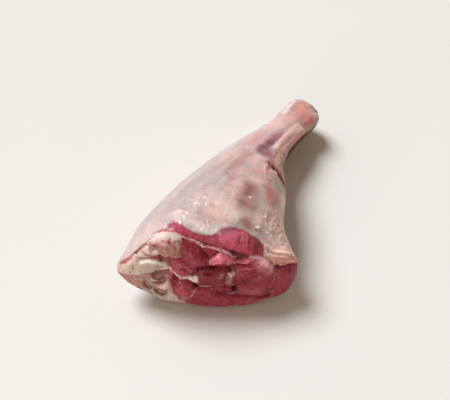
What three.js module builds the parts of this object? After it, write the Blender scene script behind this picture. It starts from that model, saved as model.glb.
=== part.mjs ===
// A raw lamb shank lying on its side: the leg narrows from a slanting cut through the thigh muscles to the hock end.
// Millimetres, +Z up. The cut faces -Y, the shin points to +Y and +X, and the origin is under the middle of the leg.

import * as THREE from 'three';
import { mergeVertices } from 'three/addons/utils/BufferGeometryUtils.js';

const { degToRad, smoothstep } = THREE.MathUtils;

// Squares of the skin sideways, along the leg and upwards.
const SQUARES = { sideways: 36, along: 40, upwards: 20 };
// Share of even spacing along the leg. The rest packs the rings closer towards the cut.
const EVEN_SPACING = 0.7;

// The cut face leans back, and its middle stands forward of its two corners.
const CUT = { x: -13, y: -107, lean: degToRad(16), bow: 8, halfWidth: 69, crown: 4 };
const CUT_MIDDLE = new THREE.Vector2(-3, 30);
// Edge of the cut, anticlockwise from its right corner: millimetres sideways, and up the leaning face.
const CUT_EDGE = [
  [69, 31], [63, 40], [40, 44.5], [16, 51],
  [-8, 59.5], [-28, 67], [-43.5, 60], [-58.5, 42.5],
  [-70.5, 28.5], [-62, 16.5], [-46, 9], [-25, 2.5],
  [2, -1], [28, -1], [52, 4], [66, 16],
];

// Upright sections through the leg, from the thigh to the hock: the middle, the turn about Z in degrees, the reach to
// each side, and how square each side is, where 2 is an ellipse. Every section leans with the sloping leg.
const SECTION_LEAN = 0.12;
const SECTIONS = [
  { x: -11, y: -62, z: 32, turn: 2, left: 59, right: 57, up: 34, down: 34, squareLeft: 1.9, squareRight: 2.3 },
  { x: -1, y: -32, z: 31, turn: 0, left: 48, right: 49, up: 31, down: 33, squareLeft: 2, squareRight: 2.3 },
  { x: 13, y: -3, z: 29, turn: -6, left: 36, right: 36, up: 26, down: 30, squareLeft: 2, squareRight: 2.2 },
  { x: 28, y: 25, z: 26, turn: -18, left: 24, right: 22, up: 18, down: 26, squareLeft: 2.1, squareRight: 2.2 },
  { x: 46, y: 52, z: 21, turn: -29, left: 15.5, right: 15, up: 14, down: 16, squareLeft: 2.2, squareRight: 2.3 },
  { x: 62, y: 77, z: 18, turn: -30, left: 14, right: 17, up: 13, down: 13, squareLeft: 2.4, squareRight: 2.5 },
  { x: 68, y: 86, z: 17, turn: -31, left: 12, right: 16, up: 12, down: 12, squareLeft: 2.4, squareRight: 2.5 },
];
const HOCK_DOME = 5;

// Relief of the cut face. Each form is an ellipse: its middle sideways and up the face, its two reaches, its turn in
// degrees, and how far it stands out, or in where that is negative.
const CUT_RELIEF = [
  { form: 'fat wedge', at: [-29, 57], reach: [16, 10], turn: -10, out: 3 },
  { form: 'joint cartilage', at: [-43, 39.5], reach: [15, 7.5], turn: 4, out: 4 },
  { form: 'fat of the left corner', at: [-58, 29], reach: [11, 8], turn: 0, out: 2 },
  { form: 'fat slab under the joint', at: [-36, 12], reach: [17, 6.5], turn: -24, out: 3 },
  { form: 'joint hollow', at: [-36, 31], reach: [9, 7.5], turn: -10, out: -4 },
  { form: 'front muscle', at: [-9, 50], reach: [12, 11], turn: -15, out: 2.5 },
  { form: 'bright muscle strip', at: [11, 47], reach: [12, 6.5], turn: -14, out: 4 },
  { form: 'gap under the strip', at: [6, 39], reach: [14, 4.5], turn: -2, out: -3.5 },
  { form: 'deep muscle', at: [-18, 20], reach: [11, 11], turn: 0, out: 2.5 },
  { form: 'seam pit', at: [-9, 22.5], reach: [5, 4], turn: 0, out: -2 },
  { form: 'middle muscle', at: [2, 33], reach: [12, 8], turn: 0, out: 1.5 },
  { form: 'nerve pit', at: [19.5, 22], reach: [4.5, 7], turn: 10, out: -2.5 },
  { form: 'round muscle', at: [36, 32], reach: [20, 12], turn: -8, out: 3 },
  { form: 'under muscle', at: [18, 11], reach: [34, 9], turn: 2, out: 2.5 },
  { form: 'outer muscle', at: [59, 22], reach: [10, 15], turn: 0, out: 2 },
  { form: 'slit under the lobe', at: [22, 47.5], reach: [20, 3.6], turn: -20, out: -3 },
];
// The relief of the cut dies out in this outer share of the face.
const CUT_MARGIN = 0.12;

// Relief of the upper side in plan, in the same terms: the middle in X and Y, the reaches, the turn and the height.
const SIDE_RELIEF = [
  { form: 'bare muscle lobe', at: [16, -86], reach: [22, 13], turn: -16, out: 4.5 },
  { form: 'bare muscle band', at: [-24, -83], reach: [27, 8], turn: -14, out: 1.5 },
  { form: 'fat flare at the right corner', at: [46, -88], reach: [13, 7], turn: 5, out: 2 },
  { form: 'hollow beside the tendon', at: [42, 30], reach: [22, 7], turn: 57, out: -2.8 },
  { form: 'groove to the hock', at: [62, 57], reach: [18, 4.5], turn: 54, out: -0.8 },
  { form: 'tendon', at: [60, 47], reach: [28, 8], turn: 57, out: 2 },
  { form: 'heel knob', at: [77, 71], reach: [8, 9], turn: 0, out: 2 },
  { form: 'hock notch', at: [77, 81], reach: [5, 4.5], turn: 30, out: -1.4 },
  { form: 'knife nick', at: [42, -12], reach: [11, 4.5], turn: -45, out: -2.5 },
  { form: 'fascia fold', at: [33, -7], reach: [19, 5], turn: -82, out: 1.2 },
];
// Upward part of a normal at which the side relief starts, and at which it is whole.
const UPPER_SIDE = { from: -0.05, to: 0.3 };

// Spreads the rings of a square evenly over a disc: the ring, from 0 in the middle to 1, and the angle on it.
function ringAndAngle(across, up) {
  const ring = Math.max(Math.abs(across), Math.abs(up));
  if (ring === 0) return { ring, angle: 0 };
  if (Math.abs(across) >= Math.abs(up)) {
    return { ring, angle: (Math.PI / 4) * (up / across) + (across < 0 ? Math.PI : 0) };
  }
  return { ring, angle: Math.PI / 2 - (Math.PI / 4) * (across / up) + (up < 0 ? Math.PI : 0) };
}

const cutEdge = new THREE.CatmullRomCurve3(
  CUT_EDGE.map(([sideways, up]) => new THREE.Vector3(sideways, up, 0)), true, 'catmullrom', 0.5);

// Place on the cut's edge at an angle, in millimetres sideways and up the face.
function cutEdgeAt(angle) {
  const { x, y } = cutEdge.getPoint(THREE.MathUtils.euclideanModulo(angle / (2 * Math.PI), 1));
  return new THREE.Vector2(x, y);
}

// Point on the leaning, bowed cut face, standing out of it by a distance.
function cutPoint({ x: sideways, y: up }, out) {
  const bow = CUT.bow * Math.min(1, (sideways / CUT.halfWidth) ** 2);
  return new THREE.Vector3(
    CUT.x + sideways,
    CUT.y + bow + up * Math.sin(CUT.lean) - out * Math.cos(CUT.lean),
    up * Math.cos(CUT.lean) + out * Math.sin(CUT.lean),
  );
}

// Point of an upright section at an angle: four quarter ovals, each with its own reaches.
function sectionPoint(section, angle) {
  const [cos, sin] = [Math.cos(angle), Math.sin(angle)];
  const power = 2 / (cos < 0 ? section.squareLeft : section.squareRight);
  const sideways = Math.sign(cos) * Math.abs(cos) ** power * (cos < 0 ? section.left : section.right);
  const up = Math.sign(sin) * Math.abs(sin) ** power * (sin < 0 ? section.down : section.up);
  const turn = degToRad(section.turn);
  return new THREE.Vector3(
    section.x + sideways * Math.cos(turn),
    section.y + sideways * Math.sin(turn) + up * SECTION_LEAN,
    section.z + up,
  );
}

// Point on the leg's side: a smooth line runs along the leg at each angle, through the cut's edge and every section.
function sidePoint(angle, along) {
  const line = [cutPoint(cutEdgeAt(angle), 0), ...SECTIONS.map((section) => sectionPoint(section, angle))];
  return new THREE.CatmullRomCurve3(line, false, 'catmullrom', 0.5).getPoint(along);
}

// Point on the domed hock end, which closes the last section.
function hockPoint(ring, angle) {
  const section = SECTIONS.at(-1);
  const turn = degToRad(section.turn);
  const middle = new THREE.Vector3(section.x, section.y, section.z);
  const ahead = new THREE.Vector3(-Math.sin(turn), Math.cos(turn), 0);
  return middle.clone().lerp(sectionPoint(section, angle), ring)
    .addScaledVector(ahead, HOCK_DOME * Math.sqrt(1 - ring * ring));
}

// Sum of the forms at a place: each is full in the middle of its ellipse and fades to nothing at its edge.
function reliefAt(forms, a, b) {
  return forms.reduce((sum, { at, reach, turn, out }) => {
    const place = new THREE.Vector2(a - at[0], b - at[1]).rotateAround(new THREE.Vector2(), -degToRad(turn));
    const distance = (place.x / reach[0]) ** 2 + (place.y / reach[1]) ** 2;
    return distance < 1 ? sum + out * (1 - distance) ** 2 : sum;
  }, 0);
}

// The leg as one skin: a box's squares are moved onto the cut face, the side and the hock, and then raised by the relief.
function legGeometry() {
  const box = new THREE.BoxGeometry(2, 2, 2, SQUARES.sideways, SQUARES.along, SQUARES.upwards);
  box.deleteAttribute('normal');
  box.deleteAttribute('uv');
  const skin = mergeVertices(box);
  const places = skin.getAttribute('position');
  const onSide = [];
  for (let i = 0; i < places.count; i += 1) {
    const { ring, angle } = ringAndAngle(places.getX(i), places.getZ(i));
    const even = (places.getY(i) + 1) / 2;
    onSide[i] = ring > 1 - 1e-6 || even > 0.5;
    let point;
    if (ring > 1 - 1e-6) {
      point = sidePoint(angle, even * (EVEN_SPACING + (1 - EVEN_SPACING) * even));
    } else if (even > 0.5) {
      point = hockPoint(ring, angle);
    } else {
      const place = CUT_MIDDLE.clone().lerp(cutEdgeAt(angle), ring);
      const margin = smoothstep(1 - ring, 0, CUT_MARGIN);
      point = cutPoint(place, CUT.crown * (1 - ring * ring) + margin * reliefAt(CUT_RELIEF, place.x, place.y));
    }
    places.setXYZ(i, point.x, point.y, point.z);
  }
  skin.computeVertexNormals();
  raiseSide(skin, onSide);
  restOnFloor(skin);
  return skin;
}

// Moves the upper side along its own normals by the side relief.
function raiseSide(skin, onSide) {
  const places = skin.getAttribute('position');
  const normals = skin.getAttribute('normal');
  for (let i = 0; i < places.count; i += 1) {
    if (onSide[i]) {
      const point = new THREE.Vector3().fromBufferAttribute(places, i);
      const normal = new THREE.Vector3().fromBufferAttribute(normals, i);
      const share = smoothstep(normal.z, UPPER_SIDE.from, UPPER_SIDE.to);
      point.addScaledVector(normal, share * reliefAt(SIDE_RELIEF, point.x, point.y));
      places.setXYZ(i, point.x, point.y, point.z);
    }
  }
}

// Flattens the soft underside where it lies on the floor, and puts the origin under the middle of the leg.
function restOnFloor(skin) {
  const places = skin.getAttribute('position');
  for (let i = 0; i < places.count; i += 1) places.setZ(i, Math.max(0, places.getZ(i)));
  skin.computeBoundingBox();
  const middle = skin.boundingBox.getCenter(new THREE.Vector3());
  skin.translate(-middle.x, -middle.y, 0);
  skin.computeVertexNormals();
}

const rawLamb = new THREE.MeshStandardMaterial({ color: 0xd2aaa3, roughness: 0.45, metalness: 0 });
const shank = new THREE.Mesh(legGeometry(), rawLamb);
shank.name = 'shank';

const lambShank = new THREE.Group();
lambShank.add(shank);

export default lambShank;
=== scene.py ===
# %% [markdown]
# # A raw lamb shank
# This is the shank end of a lamb's hind leg, as a butcher sells it. It lies on its side, cut across the
# thigh muscles at the wide end, with the hock at the narrow end. The CAD solid already has the leg's true
# size and form, so this script makes the looks around it: the fine relief of the meat, its tissues and its
# wet surface.

# %% Load the CAD frame
import math

import bmesh
import bpy
import numpy as np
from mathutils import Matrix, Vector, noise


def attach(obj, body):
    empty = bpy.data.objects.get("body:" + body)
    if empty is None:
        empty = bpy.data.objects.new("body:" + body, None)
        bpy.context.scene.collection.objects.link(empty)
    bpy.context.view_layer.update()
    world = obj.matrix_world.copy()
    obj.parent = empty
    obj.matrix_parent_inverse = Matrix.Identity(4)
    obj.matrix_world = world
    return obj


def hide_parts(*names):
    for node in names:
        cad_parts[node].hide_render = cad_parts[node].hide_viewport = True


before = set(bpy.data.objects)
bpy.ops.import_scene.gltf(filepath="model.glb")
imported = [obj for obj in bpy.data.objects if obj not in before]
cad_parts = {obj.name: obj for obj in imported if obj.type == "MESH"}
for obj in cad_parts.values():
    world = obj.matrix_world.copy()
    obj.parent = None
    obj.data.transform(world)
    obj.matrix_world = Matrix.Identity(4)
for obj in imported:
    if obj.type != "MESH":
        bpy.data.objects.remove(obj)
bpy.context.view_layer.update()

MM = 0.001

# %% [markdown]
# ## Camera
# The photograph looks down on the leg at a steep angle, with the cut towards the viewer. A long lens keeps
# the far hock from shrinking too much. The camera aims at one spot on the floor, and every mark on the leg
# is later given in millimetres from that same spot, so that camera and marks can't drift apart.

# %% Place the camera
AIM = Vector((0.85, 7.32, 0.0))
CAMERA_RISE = math.radians(50)
LENS = 85
SENSOR = 36
PICTURE_WIDTH = 450
PIXELS_PER_MM = 1.2

scene = bpy.context.scene
camera = bpy.data.objects.new("camera", bpy.data.cameras.new("camera"))
camera.data.lens = LENS
camera.data.sensor_width = SENSOR
distance = PICTURE_WIDTH * LENS / SENSOR / PIXELS_PER_MM
camera.location = (AIM + distance * Vector((0, -math.cos(CAMERA_RISE), math.sin(CAMERA_RISE)))) * MM
camera.rotation_euler = (math.pi / 2 - CAMERA_RISE, 0, 0)
scene.collection.objects.link(camera)
scene.camera = camera
print("camera stands", round(distance), "mm from the leg")

# %% [markdown]
# ## Colours and nodes
# Colours are picked as sRGB hex values, as a screen shows them, while Cycles reckons in linear light. One
# function turns the first into the second. Another adds a shader node with its settings and links, so that
# a material reads as a short list of steps.

# %% Helpers for colours and nodes
def linear(hex_colour):
    """A colour such as "#d6c3be" as linear red, green, blue and alpha."""
    shares = [int(hex_colour[place:place + 2], 16) / 255 for place in (1, 3, 5)]
    light = [share / 12.92 if share <= 0.04045 else ((share + 0.055) / 1.055) ** 2.4 for share in shares]
    return (*light, 1.0)


def add(tree, kind, inputs, **settings):
    """Adds a node. Inputs are values or other nodes' sockets, and settings are the node's own choices."""
    made = tree.nodes.new(kind)
    for name, value in settings.items():
        setattr(made, name, value)
    for socket, value in inputs.items():
        if isinstance(value, bpy.types.NodeSocket):
            tree.links.new(value, made.inputs[socket])
        else:
            made.inputs[socket].default_value = value
    return made


def new_material(name):
    """A material whose node tree is still empty, and that tree."""
    material = bpy.data.materials.new(name)
    material.use_nodes = True
    material.node_tree.nodes.clear()
    return material, material.node_tree


# %% [markdown]
# ## Light and floor
# The leg lies on pale paper under one broad light from behind and to the left, so its shadow falls to the
# right and towards the viewer. Warm walls fill the rest, so the shadow is brownish. A sun lamp with a wide
# disc gives the soft shadow and an evenly bright floor, which an area lamp would not, and the world stands
# for the walls. A low white card in front opens up the cut and adds little to the floor, which it grazes. A
# small window in the broad light is a second sun that is seen only in reflections, so it makes the crisp
# glints on wet meat and casts no second shadow.

# %% Make the lights
LIGHT_FROM = Vector((-0.6, 0.65, 1.0))
SUN_SIZE = math.radians(30)
SUN_STRENGTH = 3.3
SUN_COLOUR = "#f7fbff"
WALLS = "#8e806e"
FILL_AT = Vector((-700, -1100, 220))
FILL_SIZE = 600
FILL_WATTS = 5.0
WINDOW_SIZE = math.radians(5)
WINDOW_STRENGTH = 2.4

sun = bpy.data.objects.new("broad_light", bpy.data.lights.new("broad_light", "SUN"))
sun.data.angle = SUN_SIZE
sun.data.energy = SUN_STRENGTH
sun.data.color = linear(SUN_COLOUR)[:3]
sun.rotation_euler = LIGHT_FROM.to_track_quat("Z", "Y").to_euler()
scene.collection.objects.link(sun)

fill = bpy.data.objects.new("front_card", bpy.data.lights.new("front_card", "AREA"))
fill.data.size = FILL_SIZE * MM
fill.data.energy = FILL_WATTS
fill.location = FILL_AT * MM
fill.rotation_euler = FILL_AT.to_track_quat("Z", "Y").to_euler()
scene.collection.objects.link(fill)

window = bpy.data.objects.new("small_window", bpy.data.lights.new("small_window", "SUN"))
window.data.angle = WINDOW_SIZE
window.data.energy = WINDOW_STRENGTH
window.rotation_euler = sun.rotation_euler
window.visible_diffuse = False
scene.collection.objects.link(window)

walls = bpy.data.worlds.new("warm_walls")
walls.use_nodes = True
walls.node_tree.nodes["Background"].inputs["Color"].default_value = linear(WALLS)
scene.world = walls
scene.view_settings.view_transform = "Standard"
print("lights:", [lamp.name for lamp in (sun, fill, window)])

# %% Lay the floor
FLOOR_HALF = 2.0
FLOOR_DROP = 0.2
PAPER_GRAIN = 0.6
PAPER = ("#e9e7e5", "#eceae8")
PAPER_ROUGHNESS = 0.9

# Matt paper, pressed and uncoated: it gives the eye an even, pale ground without glints. A Mix node has
# sockets for several kinds of value, and those for colours are its inputs 6 and 7 and its output 2.
paper, tree = new_material("matt_paper")
coordinates = add(tree, "ShaderNodeTexCoord", {}).outputs["Object"]
fibres = add(tree, "ShaderNodeTexNoise", {"Vector": coordinates, "Scale": 1 / (PAPER_GRAIN * MM)})
shades = {0: fibres.outputs["Fac"], 6: linear(PAPER[0]), 7: linear(PAPER[1])}
shade = add(tree, "ShaderNodeMix", shades, data_type="RGBA")
look = {"Base Color": shade.outputs[2], "Roughness": PAPER_ROUGHNESS}
surface = add(tree, "ShaderNodeBsdfPrincipled", look)
add(tree, "ShaderNodeOutputMaterial", {"Surface": surface.outputs["BSDF"]})

sheet = bmesh.new()
bmesh.ops.create_grid(sheet, x_segments=1, y_segments=1, size=FLOOR_HALF)
bmesh.ops.translate(sheet, verts=sheet.verts, vec=(0, 0, -FLOOR_DROP * MM))
floor = bpy.data.objects.new("floor", bpy.data.meshes.new("floor"))
sheet.to_mesh(floor.data)
sheet.free()
floor.data.materials.append(paper)
scene.collection.objects.link(floor)
print("floor laid", FLOOR_DROP, "mm under the leg")

# %% [markdown]
# ## The leg as a fine mesh
# The looks start from the CAD solid, so the leg stays where the frame has it. Its facets are a few
# millimetres wide, too coarse for meat. A Subdivision Surface rounds them, and a voxel Remesh then covers
# the whole form with small even squares, on the cut and the hock alike. Even squares matter here, because
# the relief is made by moving their corners.

# %% Copy, round and remesh the solid
WELD = 0.001
ROUNDING = 2
SQUARE = 0.84
SMOOTH_PASSES = 5

form = bmesh.new()
form.from_mesh(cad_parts["shank"].data)
bmesh.ops.remove_doubles(form, verts=form.verts, dist=WELD * MM)
any_angle = {"angle_face_threshold": math.pi, "angle_shape_threshold": math.pi}
bmesh.ops.join_triangles(form, faces=form.faces, **any_angle)
rounded = bpy.data.objects.new("rounded_leg", bpy.data.meshes.new("rounded_leg"))
form.to_mesh(rounded.data)
form.free()
scene.collection.objects.link(rounded)

round_off = rounded.modifiers.new("round_off", "SUBSURF")
round_off.levels = round_off.render_levels = ROUNDING
squares = rounded.modifiers.new("squares", "REMESH")
squares.mode = "VOXEL"
squares.voxel_size = SQUARE * MM

evaluated = rounded.evaluated_get(bpy.context.evaluated_depsgraph_get())
mesh = bpy.data.meshes.new_from_object(evaluated)
mesh.name = "lamb_shank"
bpy.data.objects.remove(rounded)

form = bmesh.new()
form.from_mesh(mesh)
every_way = {"use_axis_x": True, "use_axis_y": True, "use_axis_z": True}
for _ in range(SMOOTH_PASSES):
    bmesh.ops.smooth_vert(form, verts=form.verts, factor=0.5, **every_way)
form.to_mesh(mesh)
form.free()
print("leg mesh:", len(mesh.vertices), "corners and", len(mesh.polygons), "squares")

# %% [markdown]
# ## Where things are on the leg
# A mark on the leg is given in one of two ways. On the upper side it is a place in plan, in millimetres
# from the camera's aim. On the cut it is a place on the cut's own leaning, bowed face: so far sideways and
# so far up. These cells work out both places for every corner of the mesh, and how surely it belongs to the
# cut.

# %% Helpers for places and distances
def read(mesh, what):
    """A vector of every corner of the mesh, one row each."""
    rows = np.empty(len(mesh.vertices) * 3, np.float32)
    mesh.vertices.foreach_get(what, rows)
    return rows.reshape(-1, 3).astype(float)


def ease(low, high, value):
    """0 at low, 1 at high, and a smooth step between them."""
    share = np.clip((value - low) / (high - low), 0, 1)
    return share * share * (3 - 2 * share)


def curve(points, closed=False, steps=6):
    """A smooth line through a few points, as a row of close points."""
    points = np.array(points, float)
    if closed:
        around = np.concatenate([points[-1:], points, points[:2]])
    else:
        around = np.concatenate([2 * points[:1] - points[1:2], points, 2 * points[-1:] - points[-2:-1]])
    share = (np.arange(steps) / steps)[:, None]
    line = []
    for before, start, end, after in zip(around, around[1:], around[2:], around[3:]):
        slope = (end - before) / 2
        bend = before - 2.5 * start + 2 * end - after / 2
        twist = (3 * start - before - 3 * end + after) / 2
        line.extend(start + slope * share + bend * share ** 2 + twist * share ** 3)
    return line if closed else line + [points[-1]]


def line_distance(a, b, line):
    """Millimetres from each place to a line."""
    nearest = np.full(len(a), np.inf)
    for (a0, b0), (a1, b1) in zip(line, line[1:]):
        run_a, run_b = a1 - a0, b1 - b0
        share = np.clip(((a - a0) * run_a + (b - b0) * run_b) / (run_a ** 2 + run_b ** 2), 0, 1)
        nearest = np.minimum(nearest, np.hypot(a - a0 - share * run_a, b - b0 - share * run_b))
    return nearest


def depth_inside(a, b, outline):
    """Millimetres from each place to an outline's edge, positive inside it."""
    ring = [*outline, outline[0]]
    inside = np.zeros(len(a), bool)
    for (a0, b0), (a1, b1) in zip(ring, ring[1:]):
        if b0 != b1:
            inside ^= ((b0 > b) != (b1 > b)) & (a < a0 + (b - b0) * (a1 - a0) / (b1 - b0))
    return np.where(inside, 1, -1) * line_distance(a, b, ring)


def lumps(at, size, shift):
    """Smooth noise from -1 to 1 with lumps of some millimetres. The shift picks a part of the noise."""
    return np.array([noise.noise(place) for place in (at / size + shift).tolist()])


def rough(at, *kinds):
    """The sum of several kinds of lump, each a height, a size and a shift."""
    return sum(height * lumps(at, size, shift) for height, size, shift in kinds)


# %% Places on the cut and in plan
CUT_LEAN = math.radians(16)
CUT_AT = (-13, -107)
CUT_BOW = 8
CUT_HALF_WIDTH = 69
BEVEL = 1
BEVEL_SLOPE = 0.9
CUT_EDGE = curve([
    (69, 31), (63, 40), (40, 44.5), (16, 51), (-8, 59.5), (-28, 67), (-43.5, 60), (-58.5, 42.5),
    (-70.5, 28.5), (-62, 16.5), (-46, 9), (-25, 2.5), (2, -1), (28, -1), (52, 4), (66, 16),
], closed=True)

places = read(mesh, "co") / MM - np.array(AIM)
x, y, z = places.T
sideways = x - CUT_AT[0]
behind = y - CUT_AT[1] - CUT_BOW * np.minimum(1, (sideways / CUT_HALF_WIDTH) ** 2)
up_face = behind * math.sin(CUT_LEAN) + z * math.cos(CUT_LEAN)
out_of_face = z * math.sin(CUT_LEAN) - behind * math.cos(CUT_LEAN)

# Just behind the edge the side begins, so the cut ends at a bevel that runs inwards from the edge.
from_edge = depth_inside(sideways, up_face, CUT_EDGE)
in_front = out_of_face + BEVEL + BEVEL_SLOPE * np.maximum(from_edge, -BEVEL)
on_cut = ease(-BEVEL, BEVEL, in_front) * ease(-3 * BEVEL, -BEVEL, from_edge)
up_side = ease(-0.05, 0.3, read(mesh, "normal")[:, 2]) * (1 - on_cut)
print("share of the mesh on the cut:", round(float(on_cut.mean()), 3))

# %% [markdown]
# ## Three kinds of mark
# Everything that shows on the meat is laid on as one of three soft marks: an oval dab, a streak along a
# curve, or a patch with an outline. A mark is a function that tells how much of it reaches each place, from
# 0 to 1. The same marks raise the relief, where they have a height, and tint the tissues, where they have a
# colour. All of them are read at places that noise has pushed about a little, because meat has no ruled
# lines.

# %% Dabs, streaks and patches
def dab(at, reach, turn=0):
    """An oval with two reaches, turned by some degrees."""
    cos, sin = math.cos(math.radians(turn)), math.sin(math.radians(turn))

    def share(a, b):
        across = (cos * (a - at[0]) + sin * (b - at[1])) / reach[0]
        along = (cos * (b - at[1]) - sin * (a - at[0])) / reach[1]
        return ease(1, 0, np.hypot(across, along))

    return share


def streak(width, *points):
    """A line of some width through a few points."""
    return lambda a, b: ease(width / 2, 0, line_distance(a, b, curve(points)))


def patch(soft, *outline):
    """An area whose edge fades over some millimetres."""
    return lambda a, b: ease(-soft, soft, depth_inside(a, b, curve(outline, closed=True, steps=3)))


def raised(forms, a, b):
    """The sum of forms, each a name, a height in millimetres and a mark."""
    return sum(height * mark(a, b) for _, height, mark in forms)


# %% Push the places about
BEND = 0.7
BEND_SIZE = 5
WAVE = 0.8
WAVE_SIZE = 6
FINE_SIZE = 2

bent_across = sideways + rough(places, (BEND, BEND_SIZE, 11), (BEND / 2, FINE_SIZE, 12))
bent_up = up_face + rough(places, (BEND, BEND_SIZE, 13), (BEND / 2, FINE_SIZE, 14))
wavy_x = x + rough(places, (WAVE, WAVE_SIZE, 21), (WAVE / 2, FINE_SIZE, 22))
wavy_y = y + rough(places, (WAVE, WAVE_SIZE, 23), (WAVE / 2, FINE_SIZE, 24))
print("places on the cut pushed by up to", round(float(np.abs(bent_up - up_face).max()), 1), "mm")

# %% [markdown]
# ## The muscles of the cut
# The knife went across the thigh, so the cut shows its muscles end on. Each is a bundle in its own thin
# skin, and when the bundles are cut they swell a little and stand apart, with creases between them. Every
# muscle is an outline of a few points with its own colour, how far it stands out, and which way its fibres
# lie. A pillow rises inside each outline, and the creases appear by themselves where two pillows meet. They
# are darker from the blood in them and from painted shade, which fades in from each muscle's edge.

# %% Muscles along the top of the cut
MUSCLES = {
    "front": ("#993940", 1.8, 65, [
        (-20, 65), (-12, 62), (-7, 58.3), (-4, 56), (-1.5, 52.5), (1, 48.8), (1.5, 45), (0, 41),
        (-4, 40.3), (-7, 40.5), (-10.5, 40), (-13, 42), (-17, 46), (-19.5, 49)]),
    "top wedge": ("#a8394b", 1.6, 30, [
        (-4, 57.5), (1, 56.7), (6.5, 54), (5.2, 51.3), (2.5, 49.2), (0.9, 49.4), (-1.5, 53)]),
    "bright strip": ("#e27583", 2.4, 60, [
        (1.6, 41), (1.8, 45), (3.5, 48.5), (6, 51), (9.5, 52.3), (13, 51.5), (17, 48.8), (21, 45.3),
        (19.5, 44), (18, 41.5), (10, 40.5), (4, 40.5)]),
    "upper band": ("#d67685", 1.2, -15, [
        (19.5, 45), (22, 44), (27, 45), (31, 47.5), (35, 46.5), (36, 44.6), (32, 42.8), (28, 41.2),
        (22, 41.8), (19, 41.5)]),
}
print(len(MUSCLES), "muscles outlined")

# %% Muscles in the middle of the cut
MUSCLES |= {
    "small": ("#ad505b", 1.2, 50, [
        (-27.5, 46), (-24, 47.5), (-18, 46.5), (-15, 43.5), (-11.5, 40.5), (-10, 36), (-12.5, 33.8),
        (-16, 31.5), (-20, 31), (-24, 34), (-27.5, 38.5), (-28.5, 42)]),
    "oval": ("#a1464e", 0.8, 20, [
        (-22.5, 35.5), (-20, 39.5), (-15.5, 38.5), (-13.5, 35), (-17, 32), (-21, 32)]),
    "deep": ("#ab494e", 2.2, 80, [
        (-26.5, 29.5), (-22, 29.8), (-16, 29.5), (-13, 26.5), (-10.5, 22.5), (-10, 18), (-12, 13),
        (-16, 8), (-21, 9), (-24.5, 14), (-26.8, 22)]),
    "middle": ("#8c2c35", 1.4, -8, [
        (-7, 36.5), (-6, 39), (0, 39.2), (14.5, 39.3), (16.5, 36.5), (13.5, 32), (12.3, 26.5), (6, 23),
        (-3, 24.5), (-6.8, 26)]),
    "nerve bed": ("#a06362", 0.6, 70, [
        (13, 26), (14.5, 32), (16, 35), (19.8, 34.5), (19.5, 28), (20.5, 22), (18, 21.5), (13.5, 23)]),
    "beside the vessel": ("#96353f", 0.8, 10, [
        (5, 21.5), (9, 23.5), (13, 23), (18, 21), (18.5, 17), (12, 17.3), (6, 19.3)]),
}
print(len(MUSCLES), "muscles outlined")

# %% Muscles at the right of the cut and along its bottom
MUSCLES |= {
    "round": ("#983c46", 2.4, 10, [
        (19.8, 36), (21.5, 40.5), (28, 41), (33, 43), (38, 44.5), (43, 42.5), (47.5, 38), (49.8, 33),
        (50, 26), (48.5, 19), (45, 12), (40, 9.5), (30, 12.5), (22.5, 16), (22, 22), (20, 29)]),
    "under": ("#993b41", 1.6, 15, [
        (-16.5, 6.5), (-12, 13.5), (-9.5, 20.5), (-6, 21.7), (0, 21.5), (4, 19.5), (8, 17.3), (15, 16),
        (21, 15.3), (29, 12), (40, 9), (46, 8), (50, 3.5), (28, -4), (2, -4), (-14, 1)]),
    "outer": ("#9d4149", 1.6, 75, [
        (50.3, 34), (56, 35), (62, 35.3), (70, 33), (71, 22), (67, 12), (56, 3), (47, 8), (49, 16),
        (50.8, 24)]),
}
print(len(MUSCLES), "muscles outlined")

# %% Raise and colour the muscles
PILLOW_EDGE = 2.0
CREASE = 1.0
# Painted shade and blood: the dark colour of the creases, which also fades in from each muscle's edge.
CREASE_BLOOD_AND_SHADE = "#7c2c34"
CREASE_SHADE = 0.5
CREASE_FADE = 0.8


def every(colour):
    """One colour for every corner of the mesh, as linear red, green and blue."""
    return np.tile(linear(colour)[:3], (len(x), 1))


def pillow(outline, edge):
    """Millimetres inside an outline on the cut, and a pillow's height in it, from 0 at its edge to 1."""
    depth = depth_inside(bent_across, bent_up, curve(outline, closed=True, steps=3))
    return depth, 1 - np.exp(-np.maximum(depth, 0) / edge)


swelling = np.full(len(x), -CREASE)
muscle = every(CREASE_BLOOD_AND_SHADE)
fibre = np.stack([sideways, up_face, z], axis=1)
for colour, rise, fibre_turn, outline in MUSCLES.values():
    depth, height = pillow(outline, PILLOW_EDGE)
    swelling += (CREASE + rise) * height
    # Painted shade: near its edge each muscle darkens towards the crease colour.
    shade = CREASE_SHADE * np.exp(-np.maximum(depth, 0) / CREASE_FADE)
    share = ease(-0.3, 0.3, depth) * (1 - shade)
    muscle += share[:, None] * (every(colour) - muscle)
    cos, sin = math.cos(math.radians(fibre_turn)), math.sin(math.radians(fibre_turn))
    turned = np.stack([cos * sideways + sin * up_face, cos * up_face - sin * sideways, z], axis=1)
    fibre = np.where((depth > 0)[:, None], turned, fibre)
print(len(MUSCLES), "muscles raised by up to", round(float(swelling.max()), 1), "mm")

# %% [markdown]
# ## Fat and cartilage of the cut
# At the left the knife opened the knee joint: cream fat lies in lumps round a fold of ivory cartilage, with
# a smooth brown egg of cartilage in the hollow under it. The lumps are pillows like the muscles, with a
# softer edge.

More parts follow.
